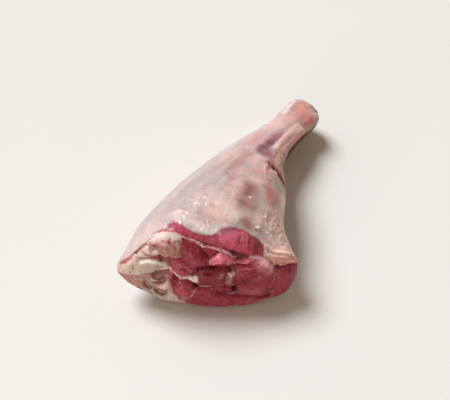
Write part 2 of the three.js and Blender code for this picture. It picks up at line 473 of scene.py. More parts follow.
# %% Fat above the joint, and its arch of cartilage
LUMPS = {
    "wedge": ("#c98c83", 1.2, [
        (-20.3, 64.5), (-20.2, 50), (-25, 48.5), (-28, 49), (-31, 48), (-34.6, 48.8), (-35.5, 54),
        (-39, 55.5), (-43, 56.5), (-46, 57), (-42, 61), (-36, 64.8), (-28, 68), (-22, 67)]),
    "left fat": ("#ffe2d5", 0.8, [
        (-46, 55.5), (-42, 54), (-41, 50), (-41.5, 47), (-45, 45.5), (-48, 44.8), (-51, 42.8), (-55, 38),
        (-59, 40.5), (-55, 45), (-50.5, 49.8)]),
    "white ball": ("#ebcbbb", 2.2, [
        (-40.6, 49), (-40.7, 51.6), (-39, 53.3), (-37, 53.9), (-35.4, 52.9), (-35.6, 50.8), (-36.6, 49),
        (-38.5, 48.1)]),
    "cream fat": ("#dfc3b3", 1.0, [
        (-69, 31), (-66, 33), (-62, 35), (-58, 39.5), (-53, 40), (-48, 40), (-46, 34), (-48, 29.5),
        (-54, 27.5), (-60, 26.3), (-68, 26.3)]),
    "arch": ("#c0ab9b", 2.2, [
        (-53.5, 37), (-52, 40), (-49, 42.3), (-45, 43.7), (-40, 44.2), (-35, 43.6), (-31.5, 42.2),
        (-29.3, 40), (-29, 38.4), (-30.5, 37.2), (-33, 36.2), (-36.5, 34.4), (-40, 32.2), (-43.5, 30.7),
        (-47.5, 30.6), (-50, 32)]),
}
print(len(LUMPS), "lumps outlined")

# %% Egg of cartilage and the fat round it
EGG = [(-42.3, 30.3), (-40, 31.8), (-36.3, 34), (-31.5, 36), (-30.2, 33), (-31.3, 29), (-34, 26),
       (-37, 25), (-40, 26), (-42.3, 28)]
LUMPS |= {
    "egg": ("#95625a", 1.4, EGG),
    "band under the egg": ("#f4d8ca", 1.2, [
        (-43, 26), (-40.5, 25.2), (-37, 24.2), (-34, 25), (-31.5, 28), (-30.8, 29.5), (-30.6, 28),
        (-33, 24.6), (-36.5, 23.2), (-40, 23.8), (-43, 24.5)]),
    "red stripe": ("#bd5b58", 0.6, [
        (-30, 37), (-28.7, 36.5), (-27.5, 32), (-27, 28), (-27.3, 24.5), (-29, 24.5), (-30, 27.5),
        (-30.2, 32)]),
    "cream wedge": ("#e8c6b9", 1.8, [
        (-40.3, 20.5), (-36, 22.2), (-33, 24.3), (-30.6, 27), (-29.3, 25.5), (-29.4, 22), (-30, 19),
        (-31.5, 17.3), (-35, 17), (-38, 18.3)]),
    "fold": ("#b9a08e", 1.2, [
        (-46, 26), (-42.5, 24.5), (-40.5, 22), (-41, 19.5), (-43.5, 20.5), (-46, 23)]),
    "spoon": ("#ab8479", 0.6, [
        (-40.3, 19), (-36.5, 18.2), (-33.6, 17), (-32, 15), (-33, 13.4), (-35.5, 13.4), (-37.6, 15),
        (-39.6, 17)]),
}
print(len(LUMPS), "lumps outlined")

# %% Slab under the joint and fat at the corners
LUMPS |= {
    "slab": ("#c9b7a9", 1.8, [
        (-50.5, 14), (-46, 16.3), (-41, 17), (-38, 14.3), (-34.5, 12.8), (-31.5, 14.3), (-29, 15.8),
        (-26.5, 14), (-24, 11), (-22.8, 8), (-23, 4), (-32, 5), (-42, 9)]),
    "tan fat": ("#c09488", 0.8, [
        (-56, 27), (-52, 29), (-46, 29), (-43, 26.5), (-46.5, 24), (-53, 22.5), (-57, 24.5)]),
    "lower band": ("#c49284", 0.8, [
        (-69, 25.5), (-60, 24.7), (-53, 21.5), (-49, 20), (-48, 17), (-50, 14.5), (-56, 12.5), (-64, 15)]),
    "side of the slab": ("#d4a297", 0.8, [
        (-29, 24.5), (-27.5, 20), (-25.5, 13), (-22.5, 7.5), (-18, 7), (-17, 3), (-22, 3.5), (-25.5, 11),
        (-30.5, 17)]),
    "node": ("#ffe6e1", 1.6, [
        (-15.8, 31.2), (-14.4, 33), (-13, 33.5), (-10.7, 32.6), (-8.4, 33.7), (-7.2, 32.4), (-6.8, 29.5),
        (-6.9, 26.8), (-8, 25.8), (-10.8, 26.2), (-13.3, 28.3), (-15, 29.8)]),
    "right corner": ("#e09a8c", 1.0, [
        (42, 46.5), (45.5, 42.3), (48, 38.8), (49, 36), (52, 36.8), (56, 35.5), (63, 35.6), (72, 33),
        (74, 38), (64, 46), (50, 48)]),
}
print(len(LUMPS), "lumps outlined")

# %% Raise and colour the lumps
LUMP_EDGE = 1.6
CUT_FAT = "#b08073"

lumpy = np.zeros(len(x))
fat = every(CUT_FAT)
for colour, rise, outline in LUMPS.values():
    depth, height = pillow(outline, LUMP_EDGE)
    lumpy += rise * height
    fat += ease(-0.5, 0.6, depth)[:, None] * (every(colour) - fat)
print(len(LUMPS), "lumps of fat and cartilage raised by up to", round(float(lumpy.max()), 1), "mm")

# %% [markdown]
# ## Edges, fascia and gaps of the cut
# White lines of fascia run between the muscles, and gaps open where two of them parted. The gaps are drawn
# in a dark colour, which is painted shade, as they are too narrow for the squares to shade them. Where a
# tissue ends sharply, the mesh keeps the distance to its edge in millimetres, and the material draws the
# edge finer than the squares are.

# %% Where fat ends and lean begins
JOINT = [(-20, 70), (-20, 52), (-19.7, 48.8), (-24, 47.8), (-28, 46.5), (-29, 42), (-28, 38.5),
         (-26.3, 35), (-27, 30), (-27.2, 22), (-25, 14), (-21.5, 8.8), (-17, 7), (-16, 0), (-25, -4),
         (-50, 0), (-72, 10), (-80, 30), (-64, 50), (-48, 70), (-28, 74)]
lean = np.full(len(x), np.inf)
for outline in (JOINT, LUMPS["node"][2], LUMPS["right corner"][2]):
    lean = np.minimum(lean, -pillow(outline, LUMP_EDGE)[0])
print("share of the cut that is lean:", round(float((on_cut * (lean > 0)).sum() / on_cut.sum()), 2))

# %% Folds that show both as relief and as a tint
FOLDS = {
    "beside the skin's crease": [(-58, 41), (-55, 44), (-52, 46.8), (-49.4, 49.6), (-47, 53)],
    "beside the ball": [(-43.3, 54), (-42, 51.4), (-41.9, 48.5)],
    "in the pink fat": [(-48, 50), (-46.3, 48), (-43, 47.4)],
    "in the wedge": [(-24.4, 60), (-23.6, 55), (-24.4, 50)],
    "across the wedge": [(-24, 52.6), (-20.6, 51.4)],
    "by the arch": [(-57, 36.4), (-56.2, 34), (-55.6, 32.4)],
    "in the middle muscle": [(-3, 35.6), (4, 34.8), (10, 33.5)],
    "strand of the right corner": [(46, 45.3), (54, 43), (62, 41.5), (68, 38.5)],
    "furrow of the right corner": [(49, 43), (57, 41), (65, 39.5)],
    "second furrow of the right corner": [(51, 38.6), (58, 37.6), (64, 36.6)],
}
print(len(FOLDS), "folds drawn")

# %% Forms of the joint
CUT_FORMS = [
    ("red hollow", -1.6, dab((-35.5, 45), (4, 2.2), 12)),
    ("hollow round the egg", -1.8, patch(1.2, *EGG)),
    ("crescent under the egg", -1.8, streak(3, (-39.5, 23), (-37, 22.8), (-34, 24), (-31, 27.5))),
    ("slit by the arch", -0.8, streak(2, *FOLDS["by the arch"])),
    ("fold of the arch", -1.0, streak(2.6, (-40.3, 39), (-39.2, 36), (-39.4, 33))),
    ("top of the arch", 0.7, streak(3, (-52, 40), (-46, 43.2), (-40, 43.8), (-34, 43), (-30, 40.5))),
    ("ridge beside the skin's crease", 1.4, streak(3.6, *FOLDS["beside the skin's crease"])),
    ("fold beside the ball", -1.0, streak(2, *FOLDS["beside the ball"])),
    ("fold in the pink fat", -1.0, streak(2, *FOLDS["in the pink fat"])),
    ("lump in the pink fat", 0.8, dab((-44.6, 51.2), (2.4, 3.4), -20)),
    ("fold in the wedge", -0.8, streak(1.8, *FOLDS["in the wedge"])),
    ("second fold in the wedge", -0.7, streak(1.6, *FOLDS["across the wedge"])),
    ("bulge of the wedge", 0.8, dab((-31, 61), (7, 3), 15)),
    ("second bulge of the wedge", 0.7, dab((-30, 52), (4, 4))),
    ("crease of the skin", -1.6, streak(3.4, (-46, 55.5), (-50, 50.5), (-54, 46.3), (-59.5, 39.8),
                                        (-65.5, 34.6))),
    ("brown pit", -1.8, streak(3, (-48, 21), (-47, 18.5), (-44.5, 17.3), (-43, 18))),
    ("notch of the slab", -1.4, streak(2.4, (-39.8, 16.8), (-37.6, 14.7), (-35, 13.2), (-32.6, 13.4),
                                       (-31.6, 14.6))),
    ("crease under the wedge", -1.0, streak(2, (-36, 48.3), (-31, 47.4), (-28, 48.2), (-24, 47.5))),
    ("fold in the left fat", -0.9, streak(1.8, (-52.5, 44.2), (-50.4, 42), (-49.4, 44.4))),
    ("fold in the tan fat", -0.8, streak(1.8, (-54, 27.5), (-49, 26.5), (-45, 27.3))),
    ("fold in the lower band", -0.7, streak(1.8, (-66, 22.6), (-58, 20), (-51, 17.5))),
]
print(len(CUT_FORMS), "forms on the cut")

# %% Forms of the muscles and the right corner
CUT_FORMS += [
    ("bulge of the bright strip", 1.0, dab((10, 49), (10, 4), -10)),
    ("sunk middle muscle", -0.8, dab((3, 33), (12, 8))),
    ("groove in the front muscle", -0.6, streak(2.4, (-13, 60), (-14, 52), (-11, 44))),
    ("second groove in the front muscle", -0.5, streak(2, (-8, 55), (-7, 48), (-4, 43))),
    ("groove in the middle muscle", -0.6, streak(1.6, *FOLDS["in the middle muscle"])),
    ("groove round the oval", -0.6, streak(1.6, (-24, 36), (-22, 39.3), (-18.5, 40.5), (-15, 39),
                                           (-13.3, 36))),
    ("groove in the round muscle", -0.6, streak(2.4, (24, 38), (26, 31), (30, 24), (36, 18))),
    ("second groove in the round muscle", -0.5, streak(2, (36.5, 36), (37, 31), (36, 25))),
    ("groove in the under muscle", -0.5, streak(2, (15, 14), (18.5, 9.5), (20, 4))),
    ("groove in the outer muscle", -0.5, streak(2.4, (56, 32), (55, 22), (57, 10))),
    ("crest of the round muscle", 3.2, streak(10, (31, 45), (37, 43), (41.5, 39.8), (45, 36.3),
                                              (47.5, 32))),
    ("upper band", 1.6, dab((28, 43.5), (8, 3.4))),
    ("strand of the right corner", 0.6, streak(2, *FOLDS["strand of the right corner"])),
    ("furrow of the right corner", -0.6, streak(1.6, *FOLDS["furrow of the right corner"])),
    ("second furrow of the right corner", -0.5, streak(1.4, *FOLDS["second furrow of the right corner"])),
    ("edge of the round muscle", 0.6, streak(3, (48.6, 34), (49.6, 29), (49, 23), (47.3, 17))),
]
print(len(CUT_FORMS), "forms on the cut")

# %% Fascia and gaps
# Each line has a name, a width, how far it stands out or in, and its points. The narrowest lines break up
# into flecks.
SEAMS = [
    ("fold of the lip", 1.3, 1.0, [(-13, 62.8), (-9.6, 61.3), (-6, 59.4), (-3, 57.7)]),
    ("lip", 0.4, 1.1, [(-3, 57.7), (0, 56.8), (4, 55.3), (8, 53.7), (12, 52.5), (15.5, 50.8), (18.5, 48.5),
                       (21, 46.2)]),
    ("joint seam", 1.5, 0.8, [(-30, 41), (-28, 38.5), (-26.5, 36), (-24, 33.2), (-21, 31), (-19.5, 30.3),
                              (-17, 30.7), (-15.3, 31.3)]),
    ("joint branch", 0.1, 0.1, [(-20.3, 30), (-20.6, 27)]),
    ("tail of the node", 0.0, 0.2, [(-7.4, 25.6), (-5.6, 23.4), (-2, 22.2), (3.5, 22.3)]),
    ("edge of the deep muscle", 0.3, 0.3, [(-10.2, 19.3), (-11, 15.4), (-13.4, 11), (-16.6, 7.8)]),
    ("nerve", 0.6, 0.4, [(16.2, 34), (18, 32.7), (18, 30.5)]),
    ("lower seam", -0.35, 0.2, [(2, 20.8), (5, 18.4), (10, 16.9), (15, 16.1), (20, 15.5), (22.7, 16.6)]),
    ("edge of the bright strip", 0.2, 0.3, [(1.2, 41), (1.6, 44), (3, 47)]),
]
GAPS = [
    ("over the lip", 1.8, -2.2, [(-5, 61.2), (-1, 59.6), (5, 57.6), (10, 56), (15, 53.8), (19, 51.4),
                                 (23, 48.9), (30, 47.2)]),
    ("under the strip", 0.4, -1.0, [(-7, 37.3), (-6.3, 39.2), (-4.5, 39.6), (1, 39.1), (7, 38.9)]),
    ("beside the strip", 1.2, -1.4, [(15.3, 41.5), (15.9, 39), (17.3, 36)]),
    ("left of the middle muscle", 1.0, -1.0, [(-7.6, 39.3), (-7, 37.3)]),
    ("front crease", 0.4, -0.8, [(-6, 56), (-3, 53), (0.8, 48.8)]),
    ("vessel", 2.4, -2.2, [(19.8, 20.3), (20.3, 18.3)]),
    ("beside the nerve", 0.4, -1.0, [(14.6, 32.5), (13.3, 29.5), (12.8, 27.5)]),
    ("behind the nerve", 0.2, -0.5, [(19.4, 31), (19.7, 26), (19.7, 22.5)]),
    ("pit of the node", 2.4, -1.6, [(-10, 24), (-8.6, 22)]),
    ("red hollow", 0.6, -0.6, [(-35.8, 44.6), (-34.4, 44.1)]),
    ("spot in the skin's crease", 0.7, -0.6, [(-54.3, 46.2), (-52.8, 47.2)]),
    ("spot on the wedge", 0.6, -0.6, [(-39.4, 57), (-38.4, 57)]),
]
print(len(SEAMS), "lines of fascia and", len(GAPS), "gaps")

# %% Sum up the relief of the cut
# Each kind of lump has a height, a size and a shift, as in rough.
LINE_FOOT = 0.8
SEAM_UNEVEN = (0.25, 4, 17)
GAP_UNEVEN = (0.15, 3, 18)
SMOOTH_CARTILAGE = 0.85
CRUMBS = [(0.8, 4, 15), (0.8, 2, 16)]
GRIT = (0.5, 1.9, 19)
GRIT_STRETCH = np.array([4, 1, 1])
UNEVEN_MUSCLE = (0.35, 4, 20)


def lines(table, a, b):
    """Millimetres from each place to the nearest line's edge, negative inside it, and the lines' relief."""
    nearest, relief = np.full(len(a), np.inf), np.zeros(len(a))
    for _, width, rise, points in table:
        away = line_distance(a, b, curve(points))
        nearest = np.minimum(nearest, away - width / 2)
        relief += rise * ease(width / 2 + LINE_FOOT, 0, away)
    return nearest, relief


seam, seam_relief = lines(SEAMS, bent_across, bent_up)
gap, gap_relief = lines(GAPS, bent_across, bent_up)
seam += rough(places, SEAM_UNEVEN)
gap += rough(places, GAP_UNEVEN)
is_lean = ease(-0.5, 0.5, lean)
cartilage = np.maximum(pillow(LUMPS["arch"][2], 1)[1], pillow(EGG, 1)[1])
crumbs = (1 - SMOOTH_CARTILAGE * cartilage) * rough(places, *CRUMBS)
grit = rough(fibre / GRIT_STRETCH, GRIT) + rough(places, UNEVEN_MUSCLE)
cut_relief = is_lean * (swelling + grit) + (1 - is_lean) * (lumpy + crumbs)
cut_relief += raised(CUT_FORMS, bent_across, bent_up) + seam_relief + gap_relief
print("relief of the cut from", cut_relief.min().round(1), "to", cut_relief.max().round(1), "mm")

# %% [markdown]
# ## The upper side
# A thin fell covers the leg, with fat under it in places. Near the cut it was pulled away, and a band of
# bare muscle shows. Along the shin the heel tendon stands out like a cord, with a hollow beside it, and a
# knife nicked the inner side. These forms are given in plan, and the mesh moves along its own normals, so a
# form on a steep flank stays as high as it should be.

# %% Areas of the upper side
BARE = [(-53, -81.8), (-50, -81.2), (-46, -79.8), (-43, -78), (-40, -75.5), (-38, -74), (-35.5, -75),
        (-32, -77.5), (-28.5, -80), (-24, -82.4), (-18, -83.5), (-12, -83), (-8, -82), (-5, -80.6),
        (-2.5, -77.5), (0, -76.3), (4, -75.7), (12, -76), (18, -78), (20, -80.2), (24, -80.4), (28, -83),
        (29.6, -86), (29, -91), (28, -98), (0, -98), (-14, -91.5), (-20, -89.8), (-26, -88.4),
        (-30, -87.4), (-34, -86), (-38, -84.6), (-44, -84), (-49, -82.8)]
HOLLOW = [(29.6, 21.6), (34, 30.6), (40, 37.4), (45, 41.4), (49.8, 45), (50.3, 42.5), (46.3, 36),
          (42.3, 31), (38.3, 25.7), (35.4, 20)]
LOWER_HOLLOW = [(25, 10), (26.6, 17), (29.4, 21.4), (33, 20.6), (36.6, 18.6), (37.5, 13), (36, 6), (33, 3),
                (30, 1), (27, 5)]
MEMBRANE = [(-40, -68), (-34, -65), (-28, -67), (-16, -72), (0, -75), (-6, -79), (-16, -82), (-26, -80),
            (-33, -75)]
FLARE = [(30, -80), (40, -80), (50, -78), (55, -86), (57, -92), (40, -95), (30, -92)]
SIDE_LINES = {
    "beside the nick": [(35, -8), (32, -13.5), (31.8, -19), (32.6, -25), (34.4, -30)],
    "furrow of the flare": [(31, -86), (40, -88.7), (52, -88.6)],
    "second furrow of the flare": [(35, -91.4), (44, -92), (54, -91)],
    "third furrow of the flare": [(33, -81.5), (41, -84.5), (51, -85)],
}
print("areas drawn, and", len(SIDE_LINES), "lines that show both as relief and as a tint")

# %% Forms of the bare lobe, the shin and the hock
SIDE_FORMS = [
    ("lobe", 1.4, dab((15, -84), (17, 9), -10)),
    ("crease of the lobe", -0.35, streak(4, (11.3, -79), (11, -84), (10.3, -88))),
    ("second crease of the lobe", -0.6, streak(2.4, (20, -80), (19, -85), (18, -89))),
    ("third crease of the lobe", -0.4, streak(2, (15, -79), (15.7, -84), (15, -88))),
    ("floor of the hollow", 1.6, dab((39, 30), (18, 5.5), 52)),
    ("strand over the hollow", 0.5, streak(2.4, (29, 21.4), (33, 20.6), (38, 18.8))),
    ("tendon", 1.2, streak(8, (38, 8), (40, 18), (44, 29), (49, 38), (55, 47), (62, 57))),
    ("heel knob", 1.6, dab((79, 70), (6, 7), 20)),
    ("notch beside the heel", -1.6, streak(3.6, (82, 80.5), (77.6, 76.8))),
    ("muscle under the tendon", 2.2, streak(9, (51, 24), (55, 33), (59, 42), (63, 50), (66, 54.6))),
    ("edge of the hock face", 0.5, streak(5, (52, 66), (57, 76), (61, 86))),
]
print(len(SIDE_FORMS), "forms on the upper side")

# %% Forms of the nick and the thigh
SIDE_FORMS += [
    ("knife nick", -1.2, streak(3.4, (35, -8.4), (38.3, -7.4), (40.2, -7.4), (42.8, -9.8), (45.4, -12.6),
                                (47.5, -14.4))),
    ("strand beside the nick", 0.5, streak(2, *SIDE_LINES["beside the nick"])),
    ("first shred in the nick", 0.8, streak(1.8, (39, -10), (39.6, -15.5))),
    ("second shred in the nick", 0.7, streak(1.6, (36, -5), (35.3, -10))),
    ("third shred in the nick", 0.6, streak(1.6, (43.3, -4), (44.3, -9))),
    ("flap below the nick", 0.8, patch(1.4, (37, -12), (39.5, -10.6), (42, -13.4), (43.4, -18), (40, -19),
                                       (37.8, -16))),
    ("fascia fold", 0.5, streak(4, (34, -4), (33, -14), (33.5, -28))),
    ("edge of the membrane", 0.25, streak(4, (-42, -69), (-38, -64.5), (-33, -63.3), (-24, -68), (-8, -73),
                                          (2, -75))),
    ("shin ridge", 0.6, streak(18, (-20, -20), (4, 8), (24, 34), (44, 62))),
    ("ridge over the thigh", 0.6, streak(14, (-34, -40), (-10, -16), (14, 10))),
    ("furrow in the fell", -0.5, streak(10, (20, 4), (12, -8), (4, -20), (5, -32))),
    ("bulge below the hollow", 0.7, dab((27, -4), (8, 8), -30)),
    ("dip at the dark patch", -0.6, dab((17, -47), (8, 16), -14)),
]
print(len(SIDE_FORMS), "forms on the upper side")

# %% Forms of the flank, and wrinkles
SIDE_FORMS += [
    ("first strand of the flare", 0.9, streak(3, (31, -84), (38, -87), (49, -87.5))),
    ("second strand of the flare", 0.9, streak(3, (33, -90), (42, -90.5), (54, -89.5))),
    ("furrow of the flare", -0.6, streak(1.8, *SIDE_LINES["furrow of the flare"])),
    ("second furrow of the flare", -0.6, streak(1.8, *SIDE_LINES["second furrow of the flare"])),
    ("third furrow of the flare", -0.5, streak(1.6, *SIDE_LINES["third furrow of the flare"])),
    # The three lumps carry painted highlights, among the washes of the fell.
    ("first lump on the flank", 1.3, dab((25, -72.5), (2.6, 2.2))),
    ("second lump on the flank", 1.1, dab((31, -63.5), (2.4, 1.8))),
    ("third lump on the flank", 1.0, dab((35, -71), (2, 2.4))),
]
WRINKLES = [
    [(1, -18), (4, -21), (5, -26)], [(0, -27), (2, -30.5)], [(11, -0.5), (14, -2)],
    [(-14, -43.5), (-11, -47)], [(-16, -49.5), (-14, -53)], [(-28, -51), (-22, -54)],
    [(-9, -49), (-6, -53)], [(14, -23), (17.5, -25)], [(-24, -56.5), (-17, -58)], [(-7, -56), (-3, -58.5)],
    [(-33, -71), (-29, -73.5)], [(-27.5, -75), (-25, -78)], [(-7, -79), (-4, -81.5)],
    [(18, -48.5), (20, -49.5), (19.5, -52)], [(25.5, -59.5), (28, -60.5)], [(23, -8), (25, -12)],
    [(-22, -70), (-17, -71.5)], [(-52, -70), (-47, -74)], [(-60, -66), (-56, -72)], [(6, -45), (7, -50)],
]
print(len(SIDE_FORMS), "forms on the upper side and", len(WRINKLES), "wrinkles")

# %% Where the fell was torn off, and where the knife went in
NO_LINE = 9.0
TORN = [(0.9, 3, 27), (0.8, 1.5, 28)]
RAGGED_END = dab((-42, -80), (16, 9))
BLURRED = [dab((-1, -79), (11, 5)), dab((-45, -79), (9, 4))]
BLUR = 0.7
NICK_SLITS = [
    ("lower end", 0.8, 0.0, [(45.2, -12.6), (47, -14)]),
    ("middle", 0.6, 0.0, [(39.6, -7.3), (41.4, -8.4), (43, -10)]),
]

bare = depth_inside(wavy_x, wavy_y, curve(BARE, closed=True, steps=3))
bare += (0.5 + RAGGED_END(x, y)) * rough(places, *TORN)
bare *= 1 - BLUR * np.maximum.reduce([mark(x, y) for mark in BLURRED])
bare = np.where(up_side > 0.5, bare, -NO_LINE)
nick, _ = lines(NICK_SLITS, wavy_x, wavy_y)
print("share of the upper side that is bare:", ((up_side * (bare > 0)).sum() / up_side.sum()).round(2))

# %% Sum up the relief of the upper side
WRINKLE = 0.25
WRINKLE_WIDTH = 2.4
FELL_STEP = 0.8
CRINKLED = dab((40, -66), (15, 28))
CRINKLES = [(0.7, 4.5, 25), (0.9, 2.2, 26)]
FLECKS = [(0.24, 2.6, 29), (0.2, 1.5, 30)]

side_relief = raised(SIDE_FORMS, wavy_x, wavy_y)
side_relief += sum(WRINKLE * streak(WRINKLE_WIDTH, *points)(x, y) for points in WRINKLES)
side_relief -= FELL_STEP * ease(-0.6, 0.6, bare)
side_relief += CRINKLED(x, y) * rough(places, *CRINKLES)
flecked = np.maximum(patch(2, *MEMBRANE)(x, y), dab((-8, -50), (26, 13))(x, y))
side_relief += flecked * rough(places, *FLECKS)
print("relief of the side from", side_relief.min().round(1), "to", side_relief.max().round(1), "mm")

# %% [markdown]
# ## Grain along the leg
# The fell has faint ridges and streaks that run down the leg and fan out over the thigh. A pattern on plain
# object coordinates would cross the leg at an angle, so the mesh stores its own: millimetres along the
# leg's bent axis, across it, and up. Stretched noise on these follows the leg, in the relief here and in
# the material later.

# %% Store the leg's own coordinates
AXIS = curve([(-13, -107), (-11, -62), (-1, -32), (13, -3), (28, 25), (46, 52), (62, 77), (75, 98)])
along, across = np.zeros(len(x)), np.full(len(x), np.inf)
run = 0.0
for (x0, y0), (x1, y1) in zip(AXIS, AXIS[1:]):
    length = math.hypot(x1 - x0, y1 - y0)
    step_x, step_y = (x1 - x0) / length, (y1 - y0) / length
    share = np.clip((x - x0) * step_x + (y - y0) * step_y, 0, length)
    off = (x - x0) * step_y - (y - y0) * step_x
    away = np.hypot(x - x0 - share * step_x, y - y0 - share * step_y)
    closer = away < np.abs(across)
    along = np.where(closer, run + share, along)
    across = np.where(closer, np.copysign(away, off), across)
    run += length
grain = np.stack([along, across, z], axis=1)
print("the leg's axis is", round(run), "mm long")

# %% Move the mesh
FACE_OUT = np.array([0, -math.cos(CUT_LEAN), math.sin(CUT_LEAN)])
LONG = np.array([9, 1, 1])
RIDGES = (0.3, 6, 31)
SWELLS = [(0.5, 18, 32), (0.15, 5, 33)]
RIM_WIDTH = 4
RIM_RELIEF = 0.35
# The outer muscle's lower corner bulges out and down.
CORNER = dab((62, 7), (13, 10))
CORNER_OUT = 2.4 * np.array([0.75, 0, -0.65])
CORNER_DEPTH = 30

ridges = rough(grain / LONG, RIDGES) + rough(places, *SWELLS)
normals = read(mesh, "normal")
rim_fade = ease(0.5, RIM_WIDTH, from_edge)
places += (on_cut * cut_relief * (RIM_RELIEF + (1 - RIM_RELIEF) * rim_fade))[:, None] * FACE_OUT
places += (up_side * side_relief + (1 - on_cut) * ridges)[:, None] * normals
places += (CORNER(sideways, up_face) * ease(-CORNER_DEPTH, 0, out_of_face))[:, None] * CORNER_OUT
places[:, 2] = np.maximum(places[:, 2], 0)
mesh.vertices.foreach_set("co", ((places + np.array(AIM)) * MM).astype(np.float32).ravel())
mesh.update()
print("highest point", round(float(places[:, 2].max()), 1), "mm above the floor")

# %% [markdown]
# ## Tints of the tissues
# Fell and fat aren't one colour: the fell is lilac where it lies on muscle and cream where fat is under it,
# blood tints it pink in places, and dark muscle shows through it as purple. A few washes are painted light
# and shade: glints on lumps and wrinkles, and shade in a furrow and on an edge turned from the light. Each
# tint is a mark laid over a base, as a painter would lay thin washes. Fat and muscle have a wash of their
# own at every corner, and the material picks between them. Each wash has a colour, a strength and a mark,
# and a later one lies over those before it.

# %% Tints of the thigh and the shin
FELL = "#c6b4b1"
FELL_WASHES = [
    ("#dcbdb9", 0.8, dab((8, 2), (34, 18), 52)),
    ("#e1b1af", 0.8, dab((26, 28), (38, 15), 52)),
    ("#f4ccc8", 0.9, dab((44, 54), (28, 14), 52)),
    ("#ddc4bf", 0.9, dab((-58, -78), (26, 17), 20)),
    ("#d9c1bc", 0.9, dab((-14, -54), (28, 17), 10)),
    ("#fadad2", 0.9, dab((2, -60), (24, 13))),
    ("#ffeae2", 0.85, dab((4, -67), (26, 8))),
    ("#f8ddd2", 0.85, dab((25, -66), (7, 7))),
    ("#eecbc1", 0.9, dab((40, -60), (18, 46))),
    ("#f8e0d3", 0.8, dab((47, -36), (6, 18))),
    ("#eec6bf", 0.9, dab((28, -12), (16, 25), 20)),
    ("#e2bbb3", 0.7, dab((14, -40), (22, 34))),
    ("#f6d2c9", 0.7, dab((25, -29), (8, 7))),
    ("#ccafad", 0.6, dab((-40, -55), (8, 10))),
    ("#c9adab", 0.5, dab((-16, -42), (9, 6))),
    ("#bda4aa", 0.5, dab((-58, -57), (8, 13), -20)),
    ("#c6a9ad", 0.5, dab((-69, -76), (5, 8))),
]
print(len(FELL_WASHES), "washes on the fell")

# %% Muscle that shows through the fell
FELL_WASHES += [
    ("#b9a6a8", 0.6, streak(15, (-36, -8), (-20, 10), (-4, 24), (10, 38))),
    # Partly muscle showing through, partly painted shade along the furrow in the fell.
    ("#bd8f8e", 0.75, streak(15, (20, 4), (12, -8), (5, -19), (6, -30))),
    ("#bb9895", 0.6, dab((10, -10), (8, 11), -35)),
    ("#dfa8a3", 0.5, streak(7, (6, -22), (14, -21.5), (24, -19), (30, -18))),
    ("#e0a4a4", 0.5, streak(7, (29, 40), (26, 32), (23, 22), (20, 12))),
    ("#c3aeab", 0.6, dab((17, 33), (10, 3.5), 55)),
    ("#b38889", 0.8, patch(5, (18, -31), (25, -38), (24, -50), (21, -60), (10, -61), (9, -53), (13, -42))),
    ("#976367", 0.8, patch(4.5, (17, -34), (23, -37), (22, -47), (18, -50), (14, -47), (15, -40))),
    ("#9b706f", 0.7, dab((14.5, -56), (8, 4.5), -10)),
    # Painted highlight: a small glossy glint on the purple patch.
    ("#f2d4ce", 0.8, dab((19.5, -49.7), (2.4, 1.4), 20)),
    ("#805b5b", 0.5, streak(1.6, (17.5, -51.5), (20.5, -52.2))),
    ("#805b5b", 0.4, streak(1.6, (17, -59), (20, -58.5))),
]
print(len(FELL_WASHES), "washes on the fell")

# %% Tints of the membrane and the flank
FELL_WASHES += [
    ("#a8716e", 0.85, patch(3.5, (11, -69), (16, -66.5), (20, -70), (19.5, -75), (14, -75))),
    ("#ffd2cc", 0.9, patch(5, (-13, -65), (-4, -64), (2, -67), (1, -72), (-4, -72), (-12, -69))),
    ("#e2c2bc", 0.5, streak(7, (-40, -66), (-35, -63.2), (-27, -66), (-15, -71.5), (-2, -74.5))),
    ("#f4dad4", 0.6, patch(5, *MEMBRANE)),
    ("#fff2ee", 0.8, patch(4, (-26, -74), (-14, -75), (2, -76), (-2, -80), (-12, -82.5), (-22, -81))),
    ("#c6b0aa", 0.4, dab((-27, -79), (6, 2.2), -15)),
    # Painted highlights on the three lumps of the flank.
    ("#ffebe8", 0.8, dab((25, -72.5), (3, 2.4))),
    ("#ffe5e0", 0.7, dab((31, -63.5), (2.8, 2))),
    ("#faded7", 0.6, dab((35, -71), (2.2, 2.8))),
    ("#91776b", 0.7, dab((23.5, -74.5), (2.6, 2))),
    ("#ecccc0", 0.6, patch(5, (31, -58), (44, -58), (47, -72), (34, -76), (29, -68))),
]
print(len(FELL_WASHES), "washes on the fell")

